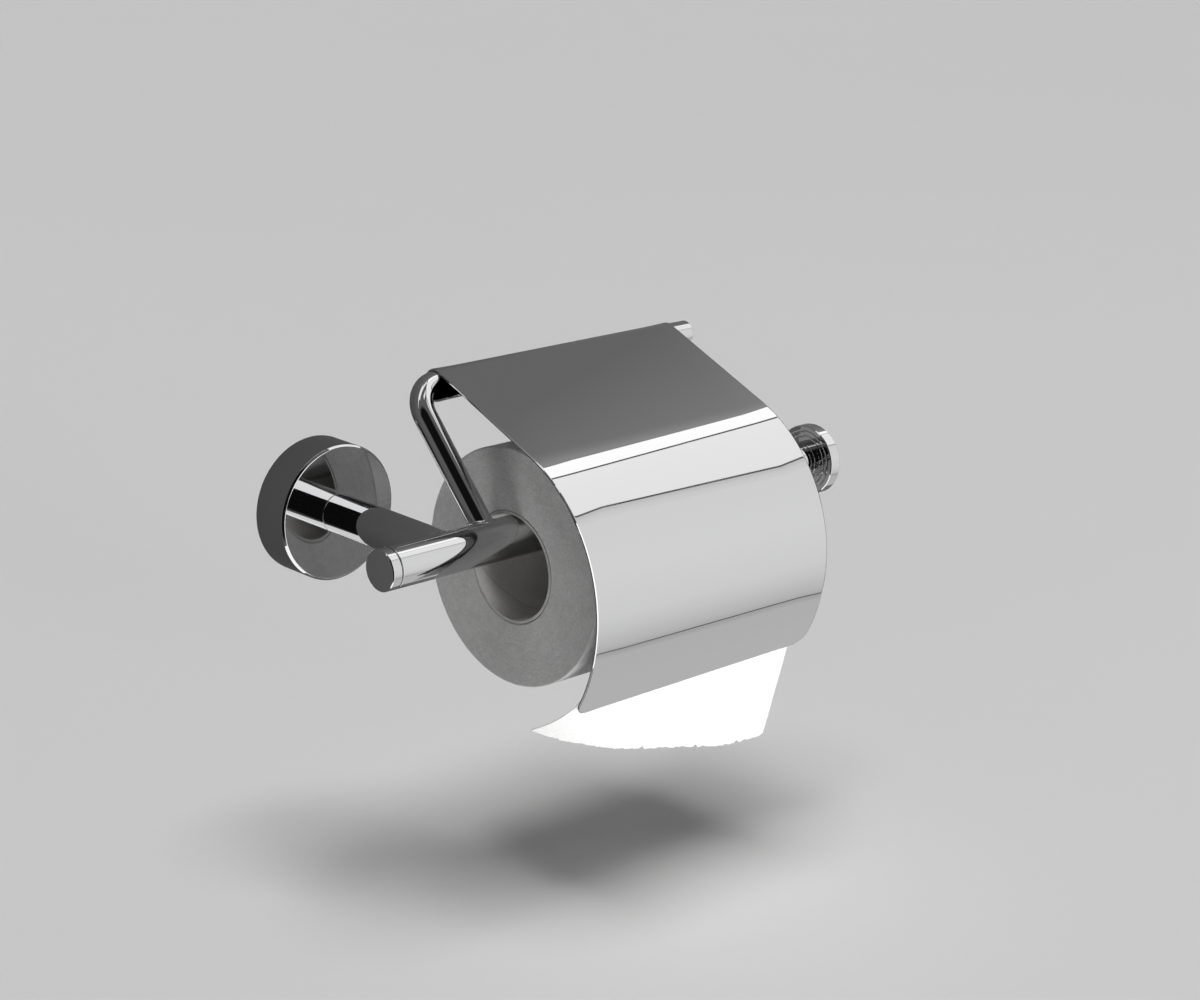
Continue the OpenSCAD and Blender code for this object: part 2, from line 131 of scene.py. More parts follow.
class HolderSizes(bpy.types.PropertyGroup):
    """Sizes of the fixed metal pieces."""

    rosette_wall: size("Rosette wall", "Thickness of the rosette's rim", 2.9 * MM)
    rosette_front: size("Rosette front", "Thickness of the rosette's front", 3.2 * MM)
    rosette_bevel: size("Rosette bevel", "Bevel round the rosette's front", 0.8 * MM)
    bevel_round: size("Bevel rounding", "Radius polished on both edges of a bevel", 0.4 * MM)
    edge_round: size("Edge rounding", "Radius left by polishing on each edge", 0.18 * MM)
    bar_wall: size("Bar wall", "Wall of the bar's tube", 1.2 * MM)
    cap_chamfer: size("Cap chamfer", "Chamfer at the bar's left end", 0.35 * MM)
    cap_groove: size("Cap groove", "Width and depth of the groove at the cap's joint",
                     0.55 * MM)
    knob_bevel: size("Knob bevel", "Bevel round both edges of the end knob", 0.35 * MM)
    saddle_round: size("Saddle rounding", "Radius where the post meets the bar", 0.5 * MM)
    base_round: size("Base rounding", "Radius round the post's base", 0.34 * MM)
    wire_bend: size("Wire bend", "Radius of the hinge wire's bend", 10.8 * MM)
    leg_splay: turn("Leg splay", "How far the wire's leg leans to the right",
                    math.radians(4.4))
    foot_fillet: size("Foot fillet", "Radius of the polished joint at the wire's foot",
                      0.95 * MM)


class CoverSizes(bpy.types.PropertyGroup):
    """Sizes of the hinged sheet cover."""

    thickness: size("Sheet thickness", "Thickness of the cover's sheet", 0.8 * MM)
    running_gap: size("Hinge gap", "Clearance of the curl on the wire", 0.08 * MM)
    curl_drop: size("Curl drop", "How far the curl's underside is set down", 1.8 * MM)
    flap_reach: size("Flap reach", "Where the closing flap meets the panel", 14.5 * MM)
    front_back: size("Front curve back", "Its centre's place behind the roll's axis",
                     9.9 * MM)
    front_down: size("Front curve down", "Its centre's place below the roll's axis",
                     9.2 * MM)
    tuck_extra: size("Lower curve", "How much larger the lower curve's radius is", 6.6 * MM)
    flap_corner: size("Flap corners", "Radius of the corners at the flap's end", 1.2 * MM)
    corner: size("Corner radius", "Radius of the lower corners", 6.0 * MM)
    edge_lift: size("Edge lift", "How far cutting has turned the side edges up", 0.26 * MM)
    edge_zone: size("Edge zone", "Width of sheet beside each edge that it reaches",
                    14.0 * MM)
    rim_round: size("Rim rounding", "Width of sheet that polishing rounds over at a rim",
                    0.55 * MM)
    cut_round: size("Cut edge rounding", "Radius on both edges of the cut", 0.14 * MM)


class PaperSizes(bpy.types.PropertyGroup):
    """Sizes of the roll and its loose sheet."""

    core_wall: size("Core wall", "Thickness of the cardboard core", 1.0 * MM)
    core_lead: size("Core lead", "Length of core that one turn of its wound strip takes",
                    62.0 * MM)
    layer_relief: size("Layer relief", "Height of the wound edges on the roll's ends",
                       0.06 * MM)
    core_joint: size("Core joint", "Depth of the joint between the paper and its core",
                     0.5 * MM)
    emboss: size("Embossing", "Depth of the embossing in the tissue", 0.10 * MM)
    sheet_thickness: size("Sheet thickness", "Thickness of the loose sheet", 0.25 * MM)
    left_length: size("Left length", "Sheet below its meeting with the cover, left",
                      50.0 * MM)
    right_length: size("Right length", "Sheet below its meeting with the cover, right",
                       59.5 * MM)
    curl: turn("Corner curl", "Slope of the sheet's end at its left corner",
               math.radians(61.0))
    fall: turn("Fall", "Slope of the sheet below the cover at its right edge",
               math.radians(13.0))
    crinkle: size("Crinkle", "Height of the soft folds in the loose sheet", 0.45 * MM)
    tear: size("Torn edge", "Depth of the torn edge's teeth", 2.0 * MM)
    wander: size("Tear wander", "How far the tear wanders from a straight line", 0.8 * MM)


class HolderColours(bpy.types.PropertyGroup):
    """Colours of the finishes and of the stage."""

    chrome: tint("Chrome", "Polished chrome", (0.60, 0.60, 0.604))
    steel: tint("Steel", "Turned steel of the hidden screws", (0.56, 0.56, 0.57))
    zinc: tint("Zinc", "Cast fixing disc", (0.45, 0.455, 0.46))
    rubber: tint("Rubber", "Rubber ring", (0.02, 0.02, 0.022))
    cardboard: tint("Cardboard", "Core of the roll", (0.60, 0.592, 0.58))
    tissue: tint("Tissue", "Tissue paper", (0.90, 0.90, 0.895))
    floor: tint("Floor", "Pale floor", (0.62, 0.62, 0.62))


# ---------------------------------------------------------------- outlines and skins

def rounded_outline(corners, closed=False, steps=5):
    """Points of an outline through (u, v, radius) corners, with each corner rounded."""
    points = []
    count = len(corners)
    nearly_straight = math.radians(89.5)
    for i, (u, v, radius) in enumerate(corners):
        here = Vector((u, v))
        end = not closed and i in (0, count - 1)
        if end or radius <= 0:
            points.append(here)
            continue
        back = (Vector(corners[i - 1][:2]) - here).normalized()
        ahead = (Vector(corners[(i + 1) % count][:2]) - here).normalized()
        half = math.acos(max(-1.0, min(1.0, back.dot(ahead)))) / 2
        if half > nearly_straight:
            points.append(here)
            continue
        reach = radius / math.tan(half)
        middle = here + (back + ahead).normalized() * (radius / math.sin(half))
        start = here + back * reach - middle
        sweep = math.pi - 2 * half
        sign = 1 if back.cross(ahead) < 0 else -1
        for k in range(steps + 1):
            a = sign * sweep * k / steps
            turned = Vector((start.x * math.cos(a) - start.y * math.sin(a),
                             start.x * math.sin(a) + start.y * math.cos(a)))
            points.append(middle + turned)
    return points


def circle(count):
    """Evenly spread angles of a full turn."""
    return [2 * math.pi * k / count for k in range(count)]


def quarter(steps, first=0):
    """Angles from nothing to a right angle."""
    return [math.pi / 2 * k / steps for k in range(first, steps + 1)]


def around(axis, centre, along, radius, angle):
    """A point at a radius and angle about an axis along X or Y."""
    c, s = radius * math.cos(angle), radius * math.sin(angle)
    if axis == "X":
        return Vector((along, centre[0] - c, centre[1] + s))
    return Vector((centre[0] + c, along, centre[1] + s))


def ring_skin(rings, closed=False):
    """Vertices and faces that join rings of points; a ring of one point is a tip."""
    points, starts = [], []
    for ring in rings:
        starts.append(len(points))
        points.extend(ring)
    faces = []
    pairs = list(zip(range(len(rings)), range(1, len(rings))))
    if closed:
        pairs.append((len(rings) - 1, 0))
    for a, b in pairs:
        na, nb = len(rings[a]), len(rings[b])
        for k in range(max(na, nb)):
            m = (k + 1) % max(na, nb)
            face = [starts[a] + k % na, starts[a] + m % na, starts[b] + m % nb,
                    starts[b] + k % nb]
            kept = [p for n, p in enumerate(face) if p not in face[:n]]
            if len(kept) > 2:
                faces.append(kept)
    return points, faces


def ring_at(axis, centre, along, radius, segments):
    """A ring of points round an axis, or one point where it has no radius."""
    if radius < TOUCHING:
        return [around(axis, centre, along, 0.0, 0.0)]
    return [around(axis, centre, along, radius, angle) for angle in circle(segments)]


def new_object(name, points, faces, material):
    """A mesh object with one material, linked to the scene."""
    mesh = bpy.data.meshes.new(name)
    mesh.from_pydata([tuple(p) for p in points], [], faces)
    mesh.materials.append(material)
    piece = bpy.data.objects.new(name, mesh)
    bpy.context.scene.collection.objects.link(piece)
    return piece


def make_piece(name, points, faces, material, weighed=True):
    """A mesh object with outward faces and smooth shading, weighed by face area if asked."""
    piece = new_object(name, points, faces, material)
    shape = bmesh.new()
    shape.from_mesh(piece.data)
    bmesh.ops.remove_doubles(shape, verts=shape.verts, dist=TOUCHING)
    bmesh.ops.recalc_face_normals(shape, faces=shape.faces)
    for face in shape.faces:
        face.smooth = True
    shape.to_mesh(piece.data)
    shape.free()
    if weighed:
        weigh_normals(piece)
    return piece


def weigh_normals(piece):
    """Lets large flat faces decide the shading, so that only the rounds turn it."""
    weights = piece.modifiers.new("face weights", "WEIGHTED_NORMAL")
    weights.mode = "FACE_AREA"
    weights.weight = 50
    weights.keep_sharp = True
    apply_modifiers(piece)


def apply_modifiers(piece):
    """Replaces a piece's mesh by what its modifiers make of it."""
    bpy.context.view_layer.update()
    graph = bpy.context.evaluated_depsgraph_get()
    mesh = bpy.data.meshes.new_from_object(piece.evaluated_get(graph),
                                           preserve_all_data_layers=True, depsgraph=graph)
    old = piece.data
    piece.modifiers.clear()
    piece.data = mesh
    mesh.name = piece.name
    bpy.data.meshes.remove(old)


def lathe_piece(name, corners, axis, centre, material, closed=False, segments=128):
    """A turned piece from (along, radius, rounding) corners."""
    rings = [ring_at(axis, centre, along, radius, segments)
             for along, radius in rounded_outline(corners, closed)]
    return make_piece(name, *ring_skin(rings, closed), material)


def finish_piece(piece, body, node):
    """Fixes a piece to its body, names its finish and hides the solid it stands for."""
    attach(piece, body)
    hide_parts(node)
    return piece


# ---------------------------------------------------------------- shader tools

class Tree:
    """Adds and joins nodes in one node tree."""

    def __init__(self, tree):
        self.tree = tree

    def link(self, source, target):
        self.tree.links.new(source, target)

    def add(self, kind, inputs=None, **settings):
        """A node with its settings; each input takes a value or another node's output."""
        node = self.tree.nodes.new(kind)
        for key, value in settings.items():
            setattr(node, key, value)
        for key, value in (inputs or {}).items():
            if isinstance(value, bpy.types.NodeSocket):
                self.link(value, node.inputs[key])
            else:
                node.inputs[key].default_value = value
        return node

    def math(self, operation, a, b=0.0, c=0.0):
        return self.add("ShaderNodeMath", {0: a, 1: b, 2: c}, operation=operation).outputs[0]

    def vector(self, operation, a, b, output=0):
        return self.add("ShaderNodeVectorMath", {0: a, 1: b},
                        operation=operation).outputs[output]

    def split(self, vector, axis):
        return self.add("ShaderNodeSeparateXYZ", {"Vector": vector}).outputs[axis]

    def spread(self, value, low_in, high_in, low_out, high_out):
        """Moves a value from one range to another."""
        ends = {"Value": value, "From Min": low_in, "From Max": high_in, "To Min": low_out,
                "To Max": high_out}
        return self.add("ShaderNodeMapRange", ends).outputs["Result"]

    def blend(self, share, first, second):
        """A mix of two colours."""
        return self.add("ShaderNodeMix", {0: share, 6: first, 7: second},
                        data_type="RGBA").outputs[2]

    def noise(self, vector, scale, detail=2.0, rough=0.5):
        return self.add("ShaderNodeTexNoise", {"Vector": vector, "Scale": scale,
                                               "Detail": detail,
                                               "Roughness": rough}).outputs["Fac"]


def made_once(store):
    """Lets a maker that is called again with the same name give what it made before."""
    def wrap(make):
        def give(name, *values):
            return getattr(bpy.data, store).get(name) or make(name, *values)
        give.__doc__ = make.__doc__
        return give
    return wrap


def new_group(name, ins, outs):
    """A shader node group with named inputs and outputs."""
    group = bpy.data.node_groups.new(name, "ShaderNodeTree")
    for label, kind, value in ins:
        socket = group.interface.new_socket(label, in_out="INPUT", socket_type=kind)
        socket.default_value = value
    for label, kind in outs:
        group.interface.new_socket(label, in_out="OUTPUT", socket_type=kind)
    tree = Tree(group)
    return group, tree, tree.add("NodeGroupInput"), tree.add("NodeGroupOutput")


FLOAT, COLOUR, VECTOR = "NodeSocketFloat", "NodeSocketColor", "NodeSocketVector"


@made_once("node_groups")
def polish_marks(name):
    """Node group: cloudy wipe marks and hairlines left in a polished surface."""
    group, t, given, result = new_group(
        name,
        [("Vector", VECTOR, (0, 0, 0)), ("Cloud scale", FLOAT, 60.0),
         ("Hairline scale", FLOAT, 900.0), ("Lowest roughness", FLOAT, 0.02),
         ("Highest roughness", FLOAT, 0.08)],
        [("Roughness", FLOAT), ("Height", FLOAT)])
    place = given.outputs["Vector"]
    cloud = t.noise(place, given.outputs["Cloud scale"], 4.0, 0.6)
    drawn_out = t.vector("MULTIPLY", place, (1.0, 0.06, 0.06))
    lines = t.noise(drawn_out, given.outputs["Hairline scale"], 3.0, 0.7)
    mixed = t.math("MULTIPLY_ADD", lines, 0.35, t.math("MULTIPLY", cloud, 0.65))
    t.link(t.spread(mixed, 0.32, 0.68, given.outputs["Lowest roughness"],
                    given.outputs["Highest roughness"]), result.inputs["Roughness"])
    t.link(mixed, result.inputs["Height"])
    return group


@made_once("node_groups")
def paper_fibre(name):
    """Node group: matted fibres, with lighter and darker specks."""
    group, t, given, result = new_group(
        name,
        [("Vector", VECTOR, (0, 0, 0)), ("Colour", COLOUR, (0.9, 0.9, 0.9, 1)),
         ("Fibre scale", FLOAT, 900.0), ("Variation", FLOAT, 0.1)],
        [("Colour", COLOUR), ("Height", FLOAT)])
    place, colour = given.outputs["Vector"], given.outputs["Colour"]
    fibres = t.noise(place, given.outputs["Fibre scale"], 5.0, 0.75)
    cloud = t.noise(place, 70.0, 3.0, 0.5)
    mixed = t.math("MULTIPLY_ADD", fibres, 0.6, t.math("MULTIPLY", cloud, 0.4))
    shade = t.math("MULTIPLY", t.spread(mixed, 0.7, 0.3, 0.0, 1.0),
                   given.outputs["Variation"])
    dark = t.blend(0.62, colour, (0.12, 0.11, 0.10, 1.0))
    t.link(t.blend(shade, colour, dark), result.inputs["Colour"])
    t.link(mixed, result.inputs["Height"])
    return group


def new_material(name, colour, metallic=0.0, roughness=0.5):
    """A material with its shader's plain values set on the sockets."""
    material = bpy.data.materials.new(name)
    material.use_nodes = True
    t = Tree(material.node_tree)
    shader = material.node_tree.nodes["Principled BSDF"]
    shader.inputs["Base Color"].default_value = (*colour, 1.0)
    shader.inputs["Metallic"].default_value = metallic
    shader.inputs["Roughness"].default_value = roughness
    place = t.add("ShaderNodeTexCoord").outputs["Object"]
    return material, t, shader, place


def bump(t, shader, height, distance, strength=1.0):
    """Feeds a height into the shader's normal."""
    node = t.add("ShaderNodeBump", {"Height": height, "Distance": distance,
                                    "Strength": strength})
    t.link(node.outputs["Normal"], shader.inputs["Normal"])


def polish(t, shader, place, cloud, hairline, least, most):
    """Feeds wipe marks into the shader's roughness, and returns their height."""
    marks = t.add("ShaderNodeGroup", {"Vector": place, "Cloud scale": cloud,
                                      "Hairline scale": hairline, "Lowest roughness": least,
                                      "Highest roughness": most},
                  node_tree=polish_marks("Polish marks"))
    t.link(marks.outputs["Roughness"], shader.inputs["Roughness"])
    return marks.outputs["Height"]


def fibres(t, place, colour, scale, variation):
    """Colour and height of matted fibres."""
    node = t.add("ShaderNodeGroup", {"Vector": place, "Colour": (*colour, 1.0),
                                     "Fibre scale": scale, "Variation": variation},
                 node_tree=paper_fibre("Paper fibre"))
    return node.outputs["Colour"], node.outputs["Height"]


def colours():
    """The colours that a user can change."""
    return bpy.context.scene.holder_colours


@made_once("materials")
def chrome_material(name, cloud, most_rough, depth):
    """Polished chrome plate."""
    material, t, shader, place = new_material(name, colours().chrome, 1.0, 0.01)
    marks = polish(t, shader, place, cloud, 900.0, 0.01, most_rough)
    waves = t.noise(place, 38.0, 1.0, 0.4)
    bump(t, shader, t.math("ADD", waves, t.math("MULTIPLY", marks, 0.02)), depth)
    return material


def holder_chrome():
    """Chrome of the turned and bent pieces."""
    return chrome_material("chrome_finish", 70.0, 0.05, 0.002 * MM)


def cover_chrome():
    """Chrome of the cover's sheet, a little wavier."""
    return chrome_material("cover_finish", 45.0, 0.045, 0.004 * MM)


@made_once("materials")
def steel_material(name, thread_axis=None, pitch=1.0 * MM):
    """Turned steel, with a rolled thread along one axis where it has one."""
    material, t, shader, place = new_material(name, colours().steel, 1.0, 0.3)
    marks = polish(t, shader, place, 220.0, 2600.0, 0.24, 0.42)
    height = t.math("MULTIPLY", marks, 0.05)
    if thread_axis:
        along = t.math("MULTIPLY", t.split(place, thread_axis), 2 * math.pi / pitch)
        height = t.math("ADD", height, t.math("SINE", along))
    bump(t, shader, height, 0.12 * MM)
    return material


@made_once("materials")
def zinc_material(name):
    """Cast zinc with a dull skin."""
    material, t, shader, place = new_material(name, colours().zinc, 0.85, 0.5)
    polish(t, shader, place, 300.0, 1500.0, 0.42, 0.62)
    bump(t, shader, t.noise(place, 1400.0, 3.0, 0.6), 0.05 * MM)
    return material


@made_once("materials")
def rubber_material(name):
    """Black rubber with a fine skin."""
    material, t, shader, place = new_material(name, colours().rubber, 0.0, 0.6)
    grain = t.noise(place, 2200.0, 3.0, 0.6)
    t.link(t.spread(grain, 0.3, 0.7, 0.5, 0.7), shader.inputs["Roughness"])
    bump(t, shader, grain, 0.03 * MM)
    return material


def polar_place(t, place):
    """Place along the roll's axis, distance from it and angle round it."""
    split = t.add("ShaderNodeSeparateXYZ", {"Vector": place})
    y = t.math("SUBTRACT", split.outputs["Y"], ROLL_Y)
    z = t.math("SUBTRACT", split.outputs["Z"], ROLL_Z)
    radius = t.math("SQRT", t.math("ADD", t.math("MULTIPLY", y, y), t.math("MULTIPLY", z, z)))
    return split.outputs["X"], radius, t.math("ARCTAN2", z, y)


def wound_edges(t, colour, height, along, radius, angle):
    """Colour and height of the edges of the wound layers on the roll's ends."""
    spot = t.add("ShaderNodeCombineXYZ", {"X": radius, "Y": t.math("MULTIPLY", angle, 0.02),
                                          "Z": along}).outputs[0]
    layers = t.noise(spot, 1500.0, 4.0, 0.7)
    broad = t.noise(spot, 260.0, 3.0, 0.6)
    height = t.math("ADD", height, t.math("ADD", layers, t.math("MULTIPLY", broad, 0.5)))
    mixed = t.math("MULTIPLY_ADD", layers, 0.7, t.math("MULTIPLY", broad, 0.3))
    shade = t.spread(mixed, 0.34, 0.64, 0.48, 0.22)
    return t.blend(shade, colour, (0.16, 0.16, 0.158, 1.0)), height


def embossed_dots(t, height, along, across):
    """Height of the tissue with its staggered dots."""
    spot = t.add("ShaderNodeCombineXYZ", {"X": along, "Y": across}).outputs[0]
    dots = t.add("ShaderNodeTexVoronoi", {"Vector": spot, "Scale": 420.0, "Randomness": 0.25},
                 voronoi_dimensions="2D", feature="F1").outputs["Distance"]
    return t.math("ADD", height, t.math("MULTIPLY", t.spread(dots, 0.1, 0.5, 0.0, 1.0), 1.2))


@made_once("materials")
def tissue_material(name, part):
    """Tissue paper: wound edges on the roll's ends, embossed dots elsewhere."""
    material, t, shader, place = new_material(name, colours().tissue, 0.0, 0.95)
    shader.inputs["Specular IOR Level"].default_value = 0.15
    shader.inputs["Sheen Weight"].default_value = 0.15
    shader.inputs["Sheen Roughness"].default_value = 0.6
    colour, height = fibres(t, place, colours().tissue, 1300.0,
                            0.30 if part == "end" else 0.10)
    height = t.math("MULTIPLY", height, 0.5)
    along, radius, angle = polar_place(t, place)
    if part == "end":
        colour, height = wound_edges(t, colour, height, along, radius, angle)
        depth = 0.16 * MM
    else:
        across = t.split(place, "Z") if part == "sheet" else t.math("MULTIPLY", angle, ROLL_R)
        height = embossed_dots(t, height, along, across)
        depth = 0.12 * MM
    bump(t, shader, height, depth, 0.8)
    t.link(colour, shader.inputs["Base Color"])
    return material


@made_once("materials")
def cardboard_material(name):
    """Grey board wound in a spiral, with the joint of its strip."""
    material, t, shader, place = new_material(name, colours().cardboard, 0.0, 0.85)
    shader.inputs["Specular IOR Level"].default_value = 0.25
    colour, height = fibres(t, place, colours().cardboard, 800.0, 0.45)
    along, _, angle = polar_place(t, place)
    lead = bpy.context.scene.paper_sizes.core_lead
    turns = t.math("FRACT", t.math("ADD", t.math("DIVIDE", along, lead),
                                   t.math("DIVIDE", angle, 2 * math.pi)))
    seam = t.spread(t.math("ABSOLUTE", t.math("SUBTRACT", turns, 0.5)), 0.0, 0.012, 1.0, 0.0)
    t.link(t.blend(t.math("MULTIPLY", seam, 0.22), colour, (0.10, 0.095, 0.09, 1.0)),
           shader.inputs["Base Color"])
    bump(t, shader, t.math("SUBTRACT", height, seam), 0.15 * MM, 0.9)
    return material


# ---------------------------------------------------------------- the metal pieces

def build_rosette():
    """Cup on the wall: rim, bevelled mirror front, and the bored hole of the grub screw."""
    s = bpy.context.scene.holder_sizes
    radius = high("rosette").x
    depth = -low("rosette").y
    inner = radius - s.rosette_wall
    floor_y = -(depth - s.rosette_front)
    fine, soft, floor_fillet, chamfer = 0.05 * MM, 0.1 * MM, 0.6 * MM, 0.3 * MM
    corners = [(floor_y, SHANK_HOLE_R, fine), (floor_y, inner, floor_fillet),
               (0.0, inner, soft), (0.0, radius - chamfer, soft), (-chamfer, radius, soft)]
    hole_y = (low("grub_screw").y + high("grub_screw").y) / 2
    hole_r = high("grub_screw").x
    # extra rows beside the hole keep the rim's shading even round it
    corners += [(hole_y + step * hole_r, radius, 0.0) for step in (1.7, 1.2, -1.2, -1.8)]
    corners += [(-(depth - s.rosette_bevel), radius, s.bevel_round),
                (-depth, radius - s.rosette_bevel, s.bevel_round),
                (-depth, SHANK_HOLE_R, fine)]
    rosette = lathe_piece("rosette_cup", corners, "Y", (0.0, 0.0), holder_chrome(),
                          closed=True, segments=192)
    bore_rim(rosette, hole_y, hole_r, radius)
    return finish_piece(rosette, "holder", "rosette")


def bore_rim(rosette, hole_y, hole_r, radius):
    """Bores the grub screw's hole through the rosette's rim from below."""
    sides, crease = 40, math.radians(40)
    rings = [[Vector((hole_r * math.cos(a), hole_y + hole_r * math.sin(a), z))
              for a in circle(sides)] for z in (-radius - 2 * MM, -radius * 0.8)]
    points, faces = ring_skin(rings)
    faces += [list(range(sides))[::-1], list(range(sides, 2 * sides))]
    cutter = make_piece("bore_cutter", points, faces, holder_chrome(), weighed=False)
    bore = rosette.modifiers.new("bore", "BOOLEAN")
    bore.object = cutter
    bore.operation = "DIFFERENCE"
    bore.solver = "EXACT"
    apply_modifiers(rosette)
    bpy.data.objects.remove(cutter, do_unlink=True)
    rosette.data.set_sharp_from_angle(angle=crease)
    weigh_normals(rosette)


def build_post():
    """Round rod from the rosette to a saddle on the bar."""
    s = bpy.context.scene.holder_sizes
    radius, start = high("post").x, high("post").y
    edge, soft = s.base_round, s.saddle_round
    angles, rows = circle(160), 14

    def saddle(r, angle):
        """Where a line along the post meets the bar."""
        z = r * math.sin(angle)
        return BAR_Y + math.sqrt(BAR_R * BAR_R - z * z)

    def ring(r, y_of):
        return [Vector((r * math.cos(a), y_of(a), r * math.sin(a))) for a in angles]

    rings = [ring(SHANK_HOLE_R, lambda a: start), ring(radius - edge, lambda a: start)]
    for b in quarter(4, 1):
        rings.append(ring(radius - edge + edge * math.sin(b),
                          lambda a: start - edge + edge * math.cos(b)))
    for q in (k / rows for k in range(1, rows)):
        rings.append(ring(radius, lambda a: (start - edge) * (1 - q)
                          + (saddle(radius, a) + soft) * q))
    for b in quarter(6):
        r = radius - soft * (1 - math.cos(b))
        rings.append(ring(r, lambda a: saddle(r, a) + soft * (1 - math.sin(b))))
    rings.append(ring(SHANK_HOLE_R, lambda a: saddle(SHANK_HOLE_R, a)))
    post = make_piece("post_rod", *ring_skin(rings, closed=True), holder_chrome())
    return finish_piece(post, "holder", "post")


def build_bar():
    """Tube of the bar, its turned left cap and the end knob."""
    s = bpy.context.scene.holder_sizes
    edge, fine = s.edge_round, 0.05 * MM
    axis = (BAR_Y, 0.0)
    joint, end = low("bar_tube").x, high("bar_tube").x
    inner = BAR_R - s.bar_wall
    tube = lathe_piece("bar_tube_skin", [
        (joint, inner, fine), (joint, BAR_R, edge), (end, BAR_R, 0.06 * MM),
        (end, inner, fine)], "X", axis, holder_chrome(), closed=True)
    finish_piece(tube, "holder", "bar_tube")

    left, spigot_end = low("end_cap").x, high("end_cap").x
    shoulder, floor = joint - 0.02 * MM, BAR_R - s.cap_groove
    spigot = high("bar_insert").z
    # the seat turned into the spigot for the rubber ring
    seat_left, seat_right = low("cap_ring").x - 0.1 * MM, high("cap_ring").x + 0.1 * MM
    seat = spigot - 1.0 * MM
    cap = lathe_piece("bar_cap", [
        (left, 0.0, 0.0), (left, BAR_R - s.cap_chamfer, edge),
        (left + s.cap_chamfer, BAR_R, edge), (joint - s.cap_groove, BAR_R, 0.1 * MM),
        (joint - s.cap_groove, floor, 0.03 * MM), (shoulder, floor, 0.03 * MM),
        (shoulder, spigot, fine), (seat_left, spigot, fine), (seat_left, seat, 0.1 * MM),
        (seat_right, seat, 0.1 * MM), (seat_right, spigot, fine),
        (spigot_end, spigot, 0.3 * MM), (spigot_end, 0.0, 0.0)], "X", axis, holder_chrome())
    finish_piece(cap, "holder", "end_cap")

    knob_r, bevel = high("end_knob").z, s.knob_bevel
    x0, x1 = low("end_knob").x, high("end_knob").x
    stud_r, bore_end = high("knob_stud").z, high("knob_stud").x + 0.5 * MM
    # two shallow rings turned into the knob's inner face, as shares of its radius
    turned = [(x0 + into, knob_r * share + out, 0.35 * MM) for share in (0.70, 0.84)
              for into, out in ((0.0, -0.5 * MM), (0.06 * MM, 0.0), (0.0, 0.5 * MM))]
    knob = lathe_piece("bar_end_knob", [
        (bore_end, 0.0, 0.0), (bore_end, stud_r, 0.1 * MM), (x0, stud_r, 0.1 * MM), *turned,
        (x0, knob_r - bevel, edge), (x0 + bevel, knob_r, edge), (x1 - bevel, knob_r, edge),
        (x1, knob_r - bevel, edge), (x1, 0.0, 0.0)], "X", axis, holder_chrome(),
        segments=160)
    finish_piece(knob, "holder", "end_knob")
    return [tube, cap, knob]


